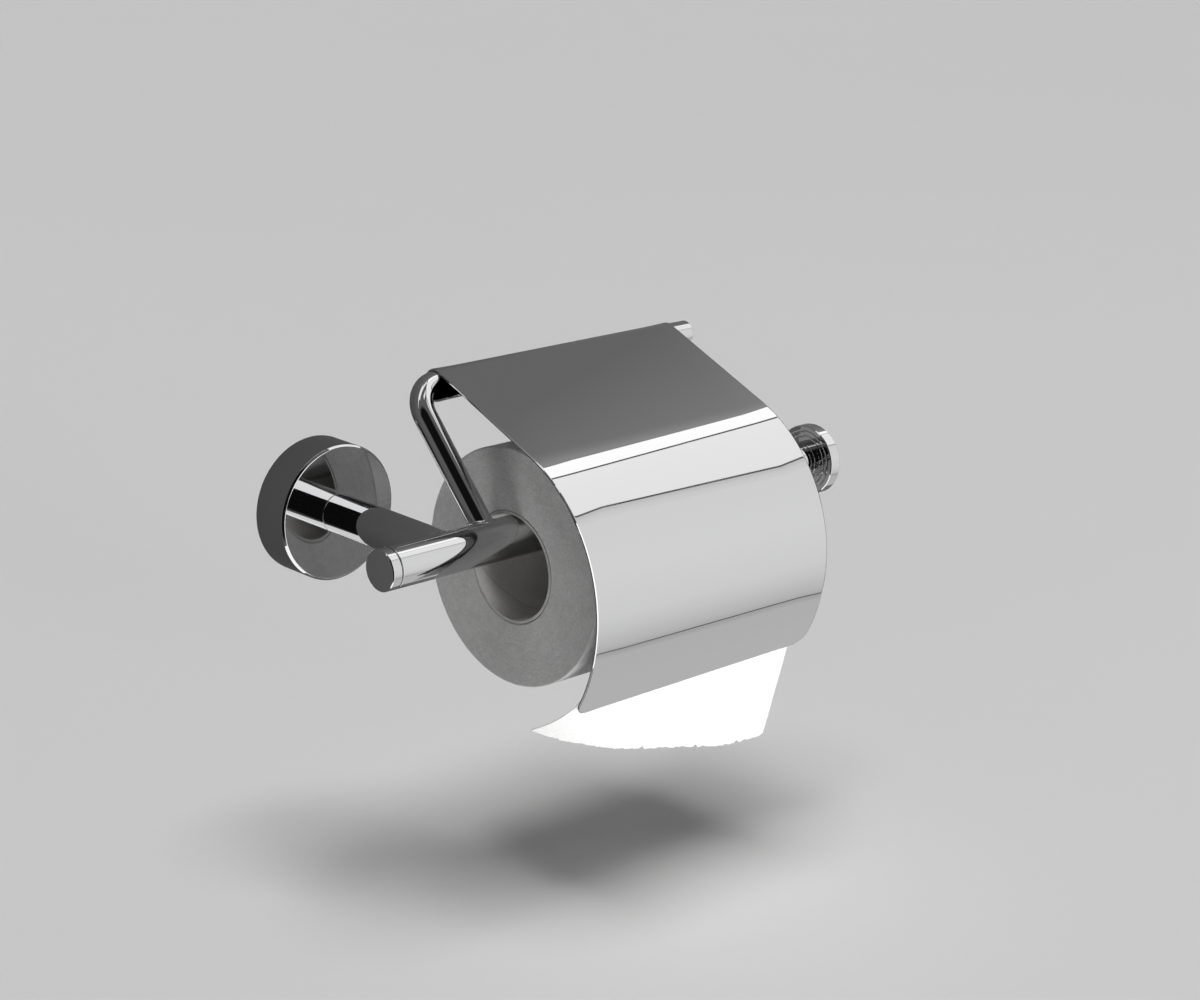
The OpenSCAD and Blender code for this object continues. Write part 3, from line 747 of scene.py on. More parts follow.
def build_wire():
    """Bent wire: a foot polished into the bar, the leg, the bend and the hinge run."""
    s = bpy.context.scene.holder_sizes
    edge, fillet = s.edge_round, s.foot_fillet
    # how far the bend reaches into the cover's curl, and the hole for the foot's stud
    bend_inside, stud_r, stud_depth = 0.8 * MM, 2.0 * MM, 9 * MM
    lean = math.atan2(HINGE_Y - BAR_Y, HINGE_Z)
    turned = math.pi / 2 + s.leg_splay
    reach = s.wire_bend * math.tan(turned / 2)
    end_x = high("hinge_wire").x
    corner = Vector((low("cover").x + bend_inside - reach, HINGE_Y, HINGE_Z))
    along_x = Vector((1, 0, 0))
    up_leg = Vector((0, math.sin(lean), math.cos(lean)))
    down = (along_x * math.sin(s.leg_splay) - up_leg * math.cos(s.leg_splay)).normalized()
    side = along_x.cross(up_leg).normalized()
    angles = circle(72)

    def beside(centre, tangent, r, a):
        """A point at radius r and angle a round a line through a centre."""
        normal = side.cross(tangent).normalized()
        return centre + normal * (r * math.cos(a)) + side * (r * math.sin(a))

    def ring(centre, tangent, r):
        return [beside(centre, tangent, r, a) for a in angles]

    def hinge_ring(x, r):
        return ring(Vector((x, HINGE_Y, HINGE_Z)), -along_x, r)

    def on_bar(r, angle, lift):
        """Where a line beside the leg meets the bar, raised by lift along the leg."""
        start = beside(corner, down, r, angle)
        oy, oz = start.y - BAR_Y, start.z
        a = down.y ** 2 + down.z ** 2
        b = 2 * (oy * down.y + oz * down.z)
        c = oy * oy + oz * oz - BAR_R ** 2
        t = (-b - math.sqrt(max(b * b - 4 * a * c, 0.0))) / (2 * a)
        return start + down * (t - lift)

    # the foot: the hole for its stud, then the fillet polished out of the bar
    bore_end = on_bar(0.0, 0.0, 0.0) - down * stud_depth
    rings = [[bore_end], ring(bore_end, down, stud_r),
             [on_bar(stud_r, a, 0.0) for a in angles]]
    for b in quarter(6):
        rings.append([on_bar(WIRE_R + fillet * (1 - math.sin(b)), a,
                             fillet * (1 - math.cos(b))) for a in angles])
    leg_top = corner + down * reach
    leg_rows, bend_rows, run_rows = 9, 36, 23
    for share in (k / leg_rows for k in range(1, leg_rows)):
        rings.append([on_bar(WIRE_R, a, fillet) * (1 - share) + p * share
                      for a, p in zip(angles, ring(leg_top, down, WIRE_R))])
    centre = leg_top + (along_x - along_x.dot(down) * down).normalized() * s.wire_bend
    out = (leg_top - centre).normalized()
    for b in (turned * k / bend_rows for k in range(bend_rows + 1)):
        place = centre + s.wire_bend * (out * math.cos(b) - down * math.sin(b))
        rings.append(ring(place, (down * math.cos(b) + out * math.sin(b)).normalized(),
                          WIRE_R))
    run_start = rings[-1][0].x
    for k in range(1, run_rows + 1):
        rings.append(hinge_ring(run_start + (end_x - edge - run_start) * k / run_rows,
                                WIRE_R))
    for b in quarter(3, 1):
        rings.append(hinge_ring(end_x - edge + edge * math.sin(b),
                                WIRE_R - edge + edge * math.cos(b)))
    # the bore that the end piece's spigot sits in
    spigot, first = WIRE_R / 2, low("wire_end_piece").x
    bore_x = first - 1 * MM
    rings += [hinge_ring(end_x, spigot), hinge_ring(bore_x, spigot),
              [Vector((bore_x, HINGE_Y, HINGE_Z))]]
    wire = make_piece("hinge_wire_rod", *ring_skin(rings), holder_chrome())
    finish_piece(wire, "holder", "hinge_wire")

    tip, rim, chamfer = high("wire_end_piece").x, WIRE_R + WIRE_STEP, 0.8 * MM
    end_piece = lathe_piece("wire_end", [
        (first, 0.0, 0.0), (first, spigot, 0.2 * MM), (end_x, spigot, 0.05 * MM),
        (end_x, rim, 0.15 * MM), (tip - chamfer, rim, 0.25 * MM),
        (tip, rim - chamfer, 0.25 * MM), (tip, 0.0, 0.0)], "X", (HINGE_Y, HINGE_Z),
        holder_chrome(), segments=96)
    finish_piece(end_piece, "holder", "wire_end_piece")
    return [wire, end_piece]


# ---------------------------------------------------------------- the cover

def front_curves():
    """Centres (y, z) and radii of the cover's front curve and of the larger one below it."""
    c = bpy.context.scene.cover_sizes
    front_y, front_z = ROLL_Y + c.front_back, ROLL_Z - c.front_down
    front_r = front_y - low("cover").y
    tuck_r = front_r + c.tuck_extra
    return (front_y, front_z, front_r), (front_y - front_r + tuck_r, front_z, tuck_r)


def cover_outline():
    """The cover's middle line from the flap's end to the lip, as (y, z, ny, nz) stations.

    The normal points out of the closed side, away from the roll.
    """
    c = bpy.context.scene.cover_sizes
    curl_in = WIRE_R + c.running_gap
    curl_out = curl_in + c.thickness
    mid = curl_in + c.thickness / 2
    (front_y, front_z, front_r), (tuck_y, _, tuck_r) = front_curves()
    lip = math.asin((front_z - low("cover").z) / tuck_r)
    dist = math.hypot(HINGE_Y - front_y, HINGE_Z - front_z)
    panel = (math.atan2(HINGE_Z - front_z, HINGE_Y - front_y)
             - math.asin((front_r - curl_out) / dist))
    low_z = HINGE_Z - c.curl_drop
    flap_y = HINGE_Y - c.flap_reach * math.cos(panel) - mid * math.sin(panel)
    flap_z = HINGE_Z - c.flap_reach * math.sin(panel) + mid * math.cos(panel)
    span = math.hypot(HINGE_Y - flap_y, low_z - flap_z)
    slope = math.asin(mid / span) - math.atan2(low_z - flap_z, HINGE_Y - flap_y)
    stations = []

    def out(angle):
        return Vector((-math.cos(angle), math.sin(angle)))

    def arc(cy, cz, r, a0, a1, steps):
        for k in range(1, steps + 1):
            n = out(a0 + (a1 - a0) * k / steps)
            stations.append((cy + r * n.x, cz + r * n.y, n.x, n.y))

    def straight(to_y, to_z, steps):
        y0, z0, ny, nz = stations[-1]
        for q in (k / steps for k in range(1, steps + 1)):
            stations.append((y0 + (to_y - y0) * q, z0 + (to_z - z0) * q, ny, nz))

    # the flap runs straight from just under the panel to the curl's lower circle
    flap_angle = 3 * math.pi / 2 + slope
    n = out(flap_angle)
    meet_y, meet_z = HINGE_Y + mid * n.x, low_z + mid * n.y
    flap_gap = c.thickness * 0.55
    flap_len = math.sqrt(span * span - mid * mid) - flap_gap
    stations.append((meet_y + n.y * flap_len, meet_z - n.x * flap_len, n.x, n.y))
    straight(meet_y, meet_z, 6)
    arc(HINGE_Y, low_z, mid, flap_angle, math.pi, 18)
    straight(stations[-1][0], HINGE_Z, 2)
    top_angle = math.pi / 2 - panel
    arc(HINGE_Y, HINGE_Z, mid, math.pi, top_angle, 20)
    top = out(top_angle)
    front_mid = front_r - c.thickness / 2
    straight(front_y + front_mid * top.x, front_z + front_mid * top.y, 30)
    arc(front_y, front_z, front_mid, top_angle, 0.0, 72)
    arc(tuck_y, front_z, tuck_r - c.thickness / 2, 0.0, -lip, 64)
    return stations


def build_cover():
    """Hinged cover: one sheet with rounded rims and rounded lower corners."""
    c = bpy.context.scene.cover_sizes
    stations = cover_outline()
    lengths = [0.0]
    for a, b in zip(stations, stations[1:]):
        lengths.append(lengths[-1] + math.hypot(b[0] - a[0], b[1] - a[1]))
    total = lengths[-1]
    x0, x1 = low("cover").x, high("cover").x
    half, cut, tight = c.thickness / 2, c.cut_round, c.flap_corner
    rim_drop = 0.3

    def at(s):
        """Position and normal of the middle line at length s."""
        s = max(0.0, min(total, s))
        k = next((i for i in range(1, len(lengths)) if lengths[i] >= s), len(lengths) - 1)
        q = (s - lengths[k - 1]) / (lengths[k] - lengths[k - 1])
        y, z, ny, nz = (a + (b - a) * q for a, b in zip(stations[k - 1], stations[k]))
        norm = math.hypot(ny, nz)
        return y, z, ny / norm, nz / norm

    def fall(x):
        """How far the sheet lies below its side edges, away from them."""
        q = max(0.0, 1 - min(x - x0, x1 - x) / c.edge_zone)
        return c.edge_lift * (1 - q * q)

    def outer_lift(x, left, right):
        """Height of the outer face over the middle, which drops beside a rim."""
        rolled = max(0.0, 1 - min(x - left, right - x) / c.rim_round) ** 2
        return half * (1 - rim_drop * rolled)

    def point(s, x, lift):
        y, z, ny, nz = at(s)
        away = lift - fall(x)
        return Vector((x, y + ny * away, z + nz * away))

    # rows along the sheet: length, how far round its corners, their radius, and the way out
    rows = [(tight - (tight - cut) * math.sin(b), b, tight, -1) for b in quarter(6)[::-1]]
    rows += [(s, 0.0, tight, 1) for s in lengths if tight < s < total - c.corner]
    rows += [(total - c.corner + (c.corner - cut) * math.sin(b), b, c.corner, 1)
             for b in quarter(16)]
    last = len(rows) - 1
    shares = column_shares(x1 - x0, c.rim_round)
    columns = len(shares) - 1
    # the cut edge's outline, from the outer face to the inner: reach and lift
    bend = [(cut * math.sin(a), half - cut + cut * math.cos(a))
            for a in (math.pi / 6, math.pi / 3, math.pi / 2)]
    rim = bend + [(reach, -lift) for reach, lift in reversed(bend)]
    points, outer, inner, edges = [], {}, {}, {}

    def add(p):
        points.append(p)
        return len(points) - 1

    def rim_line(x, left, right):
        """Reach and lift of the cut edge, which follows the outer face's drop."""
        drop = outer_lift(x, left, right) / half
        return [(reach, lift * drop if lift > 0 else lift) for reach, lift in rim]

    for i, (s, b, r, way) in enumerate(rows):
        inset = r - (r - cut) * math.cos(b)
        left, right = x0 + inset, x1 - inset
        for j, share in enumerate(shares):
            x = left + (right - left) * share
            outer[i, j] = add(point(s, x, outer_lift(x, left, right)))
            inner[i, j] = add(point(s, x, -half))
        for j, x, sign in ((0, left, -1), (columns, right, 1)):
            edges[i, j] = [add(point(s + way * reach * math.sin(b),
                                     x + sign * reach * math.cos(b), lift))
                           for reach, lift in rim_line(x, left, right)]
    for i, way in ((0, -1), (last, 1)):
        s, _, r, _ = rows[i]
        left, right = x0 + r, x1 - r
        _, _, ny, nz = at(s)
        ahead = Vector((0.0, -nz, ny)) * way
        for j in range(1, columns):
            x = left + (right - left) * shares[j]
            edges[i, j] = [add(point(s, x, lift) + ahead * reach)
                           for reach, lift in rim_line(x, left, right)]
    faces = []

    def strip(one, two):
        """Faces between the cut edge's points at two places, from outer face to inner."""
        a, b = ([outer[key], *edges[key], inner[key]] for key in (one, two))
        faces.extend([a[k], a[k + 1], b[k + 1], b[k]] for k in range(len(a) - 1))

    for i in range(last):
        for j in range(columns):
            for face in (outer, inner):
                faces.append([face[i, j], face[i, j + 1], face[i + 1, j + 1],
                              face[i + 1, j]])
        for j in (0, columns):
            strip((i, j), (i + 1, j))
    for i in (0, last):
        for j in range(columns):
            strip((i, j), (i, j + 1))
    cover = make_piece("cover_sheet", points, faces, cover_chrome())
    return finish_piece(cover, "cover", "cover")


def column_shares(width, rim_round):
    """Shares of the width at which the sheet's columns stand, closer beside both edges."""
    crowding, edge_columns, columns = 0.45, 5, 90
    near = [rim_round * k / edge_columns for k in range(edge_columns + 1)]
    middle = [near[-1] + (width - 2 * near[-1])
              * (crowding * (0.5 - 0.5 * math.cos(math.pi * q)) + (1 - crowding) * q)
              for q in (k / columns for k in range(1, columns))]
    far = [width - d for d in reversed(near)]
    return [d / width for d in near + middle + far]


# ---------------------------------------------------------------- the paper

def build_roll():
    """Wound paper with the edges of its layers on both ends, and its cardboard core."""
    p = bpy.context.scene.paper_sizes
    random.seed(7)
    x0, x1 = low("paper_roll").x, high("paper_roll").x
    core_out = high("cardboard_core").z - ROLL_Z
    axis = (ROLL_Y, ROLL_Z)
    angles, layers, rows = circle(256), 84, 90
    # rounding of the roll's edges, and how far its outer layers slump there
    soft, slump = 0.5 * MM, 0.1 * MM
    # how fine the fluff and the dents are; the outside is wrapped round dent_turns units
    fluff_scale, dent_scale, dent_turns = 950, 420, 18
    heights = [random.uniform(0.0, 1.0) for _ in range(layers + 1)]

    def ripple(k, angle, end):
        """How far a wound edge lies below the roll's end."""
        r = core_out + (ROLL_R - core_out) * k / layers
        spot = Vector((end, r * math.cos(angle), r * math.sin(angle)))
        fluff = 0.5 + 0.5 * noise.noise(spot * fluff_scale)
        joint = p.core_joint * max(0.0, 1 - k / 2)
        return joint + p.layer_relief * (0.4 * heights[k] + 0.9 * fluff)

    def inward(end, distance):
        """Place along the roll at a distance in from one of its ends."""
        return x1 - distance if end else x0 + distance

    def end_ring(k, end):
        """One wound edge on an end of the roll."""
        r = core_out + 0.02 * MM + (ROLL_R - soft - core_out) * k / layers
        return [around("X", axis, inward(end, max(0.0, ripple(k, a, end))), r, a)
                for a in angles]

    def shoulder(end):
        """The rounded edge between an end of the roll and its outside."""
        steps = 4
        return [ring_at("X", axis,
                        inward(end, soft * (1 - math.cos(a)) + slump * (1 - k / steps)),
                        ROLL_R - soft + soft * math.sin(a), len(angles))
                for k, a in enumerate(quarter(steps, 1), 1)]

    def dented_ring(x):
        """A ring of the roll's embossed outside."""
        ring = []
        for a in angles:
            spot = Vector((x * dent_scale, math.cos(a) * dent_turns,
                           math.sin(a) * dent_turns))
            dent = p.emboss * (0.5 + 0.5 * noise.noise(spot))
            ring.append(around("X", axis, x, ROLL_R - dent, a))
        return ring

    rings = [end_ring(k, 0) for k in range(layers + 1)] + shoulder(0)
    rings += [dented_ring(x0 + soft + (x1 - x0 - 2 * soft) * k / rows)
              for k in range(1, rows)]
    rings += shoulder(1)[::-1] + [end_ring(k, 1) for k in range(layers, -1, -1)]
    roll = make_piece("wound_paper", *ring_skin(rings, closed=True),
                      tissue_material("paper_end_finish", "end"), weighed=False)
    roll.data.materials.append(tissue_material("paper_finish", "outside"))
    for face in roll.data.polygons:
        if abs(face.normal.x) < 0.5:
            face.material_index = 1
    finish_piece(roll, "roll", "paper_roll")
    return [roll, build_core(x0, x1, core_out, axis)]


def build_core(x0, x1, outer, axis):
    """Cardboard tube, with the joint of its spirally wound strip pressed in."""
    p = bpy.context.scene.paper_sizes
    inner = outer - p.core_wall
    segments, rows = 160, 110
    seam_width, seam_depth, bevel = 0.5 * MM, 0.06 * MM, 0.12 * MM

    def wound_ring(x, r, way):
        ring = []
        for a in circle(segments):
            turns = (x / p.core_lead + a / (2 * math.pi)) % 1.0
            off = abs(turns - 0.5) * p.core_lead
            dent = seam_depth * max(0.0, 1 - off / (2 * seam_width))
            ring.append(around("X", axis, x, r + way * dent, a))
        return ring

    def plain_ring(x, r):
        return ring_at("X", axis, x, r, segments)

    xs = [x0 + bevel + (x1 - x0 - 2 * bevel) * k / rows for k in range(rows + 1)]
    rings = [plain_ring(x0, inner + bevel), plain_ring(x0, outer - bevel)]
    rings += [wound_ring(x, outer - 0.01 * MM, -1) for x in (xs[0], xs[-1])]
    rings += [plain_ring(x1, outer - bevel), plain_ring(x1, inner + bevel)]
    rings += [wound_ring(x, inner, 1) for x in reversed(xs)]
    core = make_piece("core_tube", *ring_skin(rings, closed=True),
                      cardboard_material("cardboard_finish"))
    return finish_piece(core, "roll", "cardboard_core")


def sheet_line(q):
    """(y, z, slope) steps down the loose sheet at a share q of its width, to its end.

    On its right the sheet lies behind the cover's lower curve; on its left it curls forward.
    """
    p = bpy.context.scene.paper_sizes
    c = bpy.context.scene.cover_sizes
    _, (tuck_y, tuck_z, tuck_r) = front_curves()
    roll_gap, cover_gap = 1.0 * MM, 0.5 * MM
    start_y = ROLL_Y - ROLL_R - roll_gap
    hug_r = tuck_r - c.thickness - cover_gap
    top = math.acos((tuck_y - start_y) / hug_r)
    hug_len = hug_r * (math.asin((tuck_z - low("cover").z) / hug_r) - top)
    # the share of the curl dies out towards the right
    dying = 1.85
    share = (1 - q) ** dying
    length = p.right_length + (p.left_length - p.right_length) * share
    lead_in, steps = 10, 80

    def slope(s):
        hug = top + s / hug_r if s < hug_len else p.fall
        w = min(1.0, s / length)
        return (1 - share) * hug + share * (top + (p.curl - top) * w * (2 - w))

    y, z = tuck_y - hug_r * math.cos(top), tuck_z - hug_r * math.sin(top)
    rows = [(start_y + (y - start_y) * u * u, ROLL_Z + (z - ROLL_Z) * u, top * u * 0.5)
            for u in (k / lead_in for k in range(lead_in))]
    rows.append((y, z, slope(0.0)))
    for k in range(steps):
        a = slope(length * (k + 0.5) / steps)
        y += length / steps * math.sin(a)
        z -= length / steps * math.cos(a)
        rows.append((y, z, a))
    return rows


def build_sheet():
    """Loose end of the paper: it hangs off the roll's front, and ends in a torn edge."""
    p = bpy.context.scene.paper_sizes
    x0, x1 = low("loose_sheet").x, high("loose_sheet").x
    columns, torn_rows = 300, 5
    # the share of the way down that the cover holds flat, and the room for folds there
    held, least, most = 0.35, 0.35 * MM, 0.7 * MM
    fronts, backs = [], []
    for q in (j / columns for j in range(columns + 1)):
        x = x0 + (x1 - x0) * q
        line = sheet_line(q)
        count = len(line)
        tear = torn_edge(x, q)
        front, back = [], []
        for i, (y, z, a) in enumerate(line):
            below = max(0.0, (i - held * count) / ((1 - held) * count))
            fold = p.crinkle * (0.5 + 0.5 * soft_folds(x, z))
            lift = min(most, least + fold * (0.15 + 0.85 * below))
            pull = tear * max(0.0, (i - count + 1 + torn_rows) / torn_rows)
            side = x + edge_wave(q, z, below)
            y += math.cos(a) * lift - math.sin(a) * pull
            z += math.sin(a) * lift + math.cos(a) * pull
            front.append(Vector((side, y, z)))
            back.append(Vector((side, y + math.cos(a) * p.sheet_thickness,
                                z + math.sin(a) * p.sheet_thickness)))
        fronts.append(front)
        backs.append(back)
    rows = len(fronts[0])
    points = [v for line in fronts + backs for v in line]
    half = len(points) // 2
    faces = []
    for j in range(columns):
        for i in range(rows - 1):
            a, b = j * rows + i, (j + 1) * rows + i
            faces.append([a, a + 1, b + 1, b])
            faces.append([half + a, half + b, half + b + 1, half + a + 1])
    rim = list(range(rows)) + [j * rows + rows - 1 for j in range(1, columns + 1)]
    rim += [columns * rows + i for i in range(rows - 2, -1, -1)]
    rim += [j * rows for j in range(columns - 1, 0, -1)]
    faces += [[a, b, half + b, half + a] for a, b in zip(rim, rim[1:] + rim[:1])]
    sheet = make_piece("loose_end", points, faces,
                       tissue_material("loose_paper_finish", "sheet"), weighed=False)
    finish_piece(sheet, "sheet", "loose_sheet")
    return sheet


def soft_folds(x, z):
    """Broad folds with narrower ones on them."""
    return noise.noise(Vector((x * 45, z * 60, 1.7))) \
        + 0.5 * noise.noise(Vector((x * 120, z * 110, 5.2)))


def torn_edge(x, q):
    """How much of the sheet the tear took, at x and a share q of its width."""
    p = bpy.context.scene.paper_sizes
    nick = max(0.0, noise.noise(Vector((x * 520, 6.7, 0.0))) - 0.2)
    teeth = 0.35 * noise.noise(Vector((x * 230, 3.1, 0.0))) \
        + 0.35 * noise.noise(Vector((x * 1100, 8.3, 0.0))) + 1.2 * nick
    drift = math.sin(2 * math.pi * (q - 0.15) / 0.55) + 0.8 * q ** 4
    return p.tear * (0.4 + teeth) - p.wander * drift


def edge_wave(q, z, below):
    """How far the sheet's side edges stray inwards, towards its torn end."""
    stray = 0.35 + 0.30 * noise.noise(Vector((z * 160, 4.4, q))) \
        + 0.45 * noise.noise(Vector((z * 700, 2.2, q)))
    zone = 0.12
    inward = max(0.0, 1 - q / zone) - max(0.0, 1 - (1 - q) / zone)
    return (stray + 0.9 * below) * MM * below * inward


# ---------------------------------------------------------------- hidden fixings

def dress_fixings():
    """Gives the hidden screws, studs, ring and disc their finishes."""
    plain = steel_material("steel_finish")
    finishes = {
        "fixing_disc": zinc_material("zinc_finish"),
        "cap_ring": rubber_material("rubber_finish"),
        "grub_screw": steel_material("steel_grub", "Z", 0.7 * MM),
        "post_screw": steel_material("steel_screw", "Y"),
        "bar_stud": steel_material("steel_stud_y", "Y"),
        "knob_stud": steel_material("steel_stud_x", "X", 0.8 * MM),
        "foot_stud": steel_material("steel_stud_z", "Z", 0.7 * MM),
        "post_washer": plain, "bar_insert": plain, "knob_plug": plain,
    }
    for name, material in finishes.items():
        for slot in frame["nodes"][name].material_slots:
            slot.material = material
    return finishes


# ---------------------------------------------------------------- stage

# cards that the metal mirrors: the ends of one edge, the ends of the other, and the glow at
# shares of the way from the first to the second
CARDS = {
    "card_white": ([(0.333, -0.259, 0.899), (1.218, 0.116, 0.599)],
                   [(0.333, 0.08, 0.87), (1.22, 0.45, 0.575)], [(0, 1.17), (1, 1.20)]),
    "card_upper": ([(0.426, -0.4668, 0.784), (1.182, -0.5448, 0.424)],
                   [(0.333, -0.276, 0.899), (1.218, 0.099, 0.599)], [(0, 0.92), (1, 0.95)]),
    "card_front": ([(0.42, -0.774, -0.560), (1.35, -0.346, -0.532)],
                   [(0.300, -0.466, 0.830), (1.35, -0.575, 0.330)],
                   [(0, 0.46), (0.04, 0.53), (0.12, 0.60), (0.25, 0.71), (0.5, 0.76),
                    (0.85, 0.74), (0.93, 0.68), (1, 0.60)]),
    "card_low": ([(0.3, 0.25, -0.9), (1.6, 0.25, -0.9)],
                 [(0.42, -0.772, -0.570), (1.35, -0.344, -0.542)],
                 [(0, 0.45), (0.6, 0.50), (0.93, 0.50), (1, 0.40)]),
    "card_under": ([(-0.75, -1.1, -0.9), (0.25, -1.1, -0.9)],
                   [(-0.75, -0.1, -0.9), (0.25, -0.1, -0.9)], [(0, 1.1), (1, 1.1)]),
    "card_above": ([(-0.50, -0.004, 0.30), (0.05, -0.004, 0.30)],
                   [(-0.50, -0.004, 0.93), (0.05, -0.004, 0.93)], [(0, 0.9), (1, 0.9)]),
    "card_ceiling": ([(-0.50, -0.13, 0.93), (0.30, -0.13, 0.93)],
                     [(-0.50, 0.0, 0.93), (0.30, 0.0, 0.93)], [(0, 0.9), (1, 0.9)]),
    "card_corner": ([(0.05, -0.43, 0.9), (0.33, -0.43, 0.9)],
                    [(0.05, -0.33, 0.9), (0.33, -0.33, 0.9)], [(0, 0.9), (1, 0.9)]),
    "card_key": ([(-0.35, -1.2, -0.95), (0.62, -1.05, -0.95)],
                 [(-0.35, -1.2, 1.1), (0.62, -1.05, 1.1)], [(0, 1.35), (1, 1.35)]),
}
# chrome gives back about 0.6 of what it mirrors, so every card glows this much more
CARD_GAIN = 1.38
# soft even lights: azimuth from straight ahead of the wall towards the left, elevation
# (both in degrees), power, and how many degrees of sky each fills
SUNS = {
    "front": (2.0, 0.0, 2.2, 22.0),
    "low": (-4.0, -30.0, 0.45, 25.0),
    "under": (48.0, -66.0, 1.55, 26.0),
    "left": (50.0, 4.0, 0.24, 40.0),
    "right": (-80.0, -5.0, 1.2, 30.0),
    "back": (180.0, 0.0, 0.35, 30.0),
    "top": (0.0, 88.0, 2.5, 34.0),
}


def heading(turned, raised):
    """The direction that is turned to the right of the wall's and raised, in radians."""
    return Vector((math.sin(turned) * math.cos(raised), math.cos(turned) * math.cos(raised),
                   math.sin(raised)))


@made_once("materials")
def glow_material(name, level_of):
    """A finish that only glows; level_of adds the nodes for its strength."""
    material = bpy.data.materials.new(name)
    material.use_nodes = True
    material.node_tree.nodes.clear()
    t = Tree(material.node_tree)
    glow = t.add("ShaderNodeEmission", {"Color": (1, 1, 1, 1), "Strength": level_of(t)})
    t.add("ShaderNodeOutputMaterial", {"Surface": glow.outputs[0]})
    return material


def stage_piece(name, points, faces, material, *hidden_from):
    """A piece of the stage, hidden from some kinds of light ray."""
    piece = new_object(name, points, faces, material)
    for ray in hidden_from:
        setattr(piece, "visible_" + ray, False)
    return piece


def mirrored_card(name, points, faces, material):
    """A glowing stage card that shows in the metal and nowhere else."""
    return stage_piece(name, points, faces, material, "camera", "diffuse", "shadow",
                       "transmission", "volume_scatter")


def strip_card(name, first, second, bands):
    """A card between two edges, with a glow at each share of the way between them."""
    finish = glow_material("card_glow", lambda t: t.add(
        "ShaderNodeAttribute", attribute_name="glow").outputs["Fac"])
    points = [Vector(first[k]).lerp(Vector(second[k]), share)
              for share, _ in bands for k in range(2)]
    faces = [[2 * k, 2 * k + 1, 2 * k + 3, 2 * k + 2] for k in range(len(bands) - 1)]
    card = mirrored_card(name, points, faces, finish)
    glow = card.data.attributes.new("glow", "FLOAT", "POINT")
    glow.data.foreach_set("value", [level * CARD_GAIN for _, level in bands for _ in "ab"])


def wall_card():
    """The wall's tone as the metal mirrors it: darkest round the holder."""
    # middle of the painted shadow round the holder
    middle = (0.04, 0.0, -0.04)

    def level(t):
        place = t.add("ShaderNodeTexCoord").outputs["Object"]
        split = t.add("ShaderNodeSeparateXYZ", {"Vector": place})
        across, up = split.outputs["X"], split.outputs["Z"]
        # painted reflection of the wall, lighter towards the upper right
        rise = t.spread(t.math("ADD", across, up), 0.36, 0.80, 0.0, 0.13)
        rise = t.math("ADD", rise, t.spread(across, -0.02, 0.12, 0.0, 0.038))
        # painted shadow: the glow darkens towards the holder
        away = t.vector("DISTANCE", place, middle, "Value")
        shade = t.spread(away, 0.03, 0.17, 0.045, 0.108)
        return t.math("MULTIPLY", t.math("ADD", shade, rise), CARD_GAIN)

    # the wall's outline, with a corner left open for the white cards above on the right
    left, right, far_right, bottom, step, top = -2.5, 0.50, 1.6, -2.0, 0.20, 1.60
    outline = [(left, bottom), (far_right, bottom), (far_right, step), (right, step),
               (right, top), (left, top)]
    mirrored_card("wall_card", [(x, 2 * MM, z) for x, z in outline],
                  [list(range(len(outline)))], glow_material("wall_card", level))


def build_floor():
    """Pale floor under the holder, which the metal doesn't mirror."""
    colour, span, drop, speck = colours().floor, 14.0, 35 * MM, 0.985
    floor_z = CAD_BOX[0][2] - drop
    finish, t, shader, place = new_material("floor", colour, 0.0, 0.9)
    grain = t.noise(place, 3.0, 2.0)
    t.link(t.blend(grain, (*[c * speck for c in colour], 1.0), (*colour, 1.0)),
           shader.inputs["Base Color"])
    corners = [(-span, -span, floor_z), (span, -span, floor_z), (span, span, floor_z),
               (-span, span, floor_z)]
    stage_piece("floor", corners, [[0, 1, 2, 3]], finish, "glossy", "shadow", "diffuse")


def add_sun(name, azimuth, elevation, power, softness):
    """A soft light that shows neither in the camera nor in the metal."""
    light = bpy.data.lights.new(name, "SUN")
    light.energy = power
    light.angle = math.radians(softness)
    lamp = bpy.data.objects.new(name, light)
    bpy.context.scene.collection.objects.link(lamp)
    toward = heading(math.radians(azimuth), -math.radians(elevation))
    lamp.rotation_euler = toward.to_track_quat("-Z", "Y").to_euler()
    lamp.visible_camera = False
    lamp.visible_glossy = False


def build_world():
    """Pale backdrop; in the metal, an unlit room to the left in front."""
    backdrop, ambient = 0.50, 0.07
    dark_way = (-0.60, -0.76, 0.15)
    world = bpy.data.worlds.new("studio")
    bpy.context.scene.world = world
    world.use_nodes = True
    t = Tree(world.node_tree)
    world.node_tree.nodes.clear()
    rays = t.add("ShaderNodeLightPath").outputs
    way = t.add("ShaderNodeTexCoord").outputs["Generated"]
    dark = t.vector("DOT_PRODUCT", way, dark_way, "Value")
    behind = t.split(way, "Y")
    # the dark starts well round from its middle, and the wall's side glows a little
    mirrored = t.math("ADD", t.spread(dark, 0.63, 0.73, 0.15, 0.008),
                      t.spread(behind, 0.3, 0.9, 0.0, 0.5))
    unseen = t.math("ADD", t.math("MULTIPLY", rays["Is Glossy Ray"], mirrored),
                    t.math("MULTIPLY", rays["Is Diffuse Ray"], ambient))
    level = t.math("ADD", unseen, t.math("MULTIPLY", rays["Is Camera Ray"], backdrop))
    back = t.add("ShaderNodeBackground", {"Color": (1, 1, 1, 1), "Strength": level})
    t.add("ShaderNodeOutputWorld", {"Surface": back.outputs[0]})


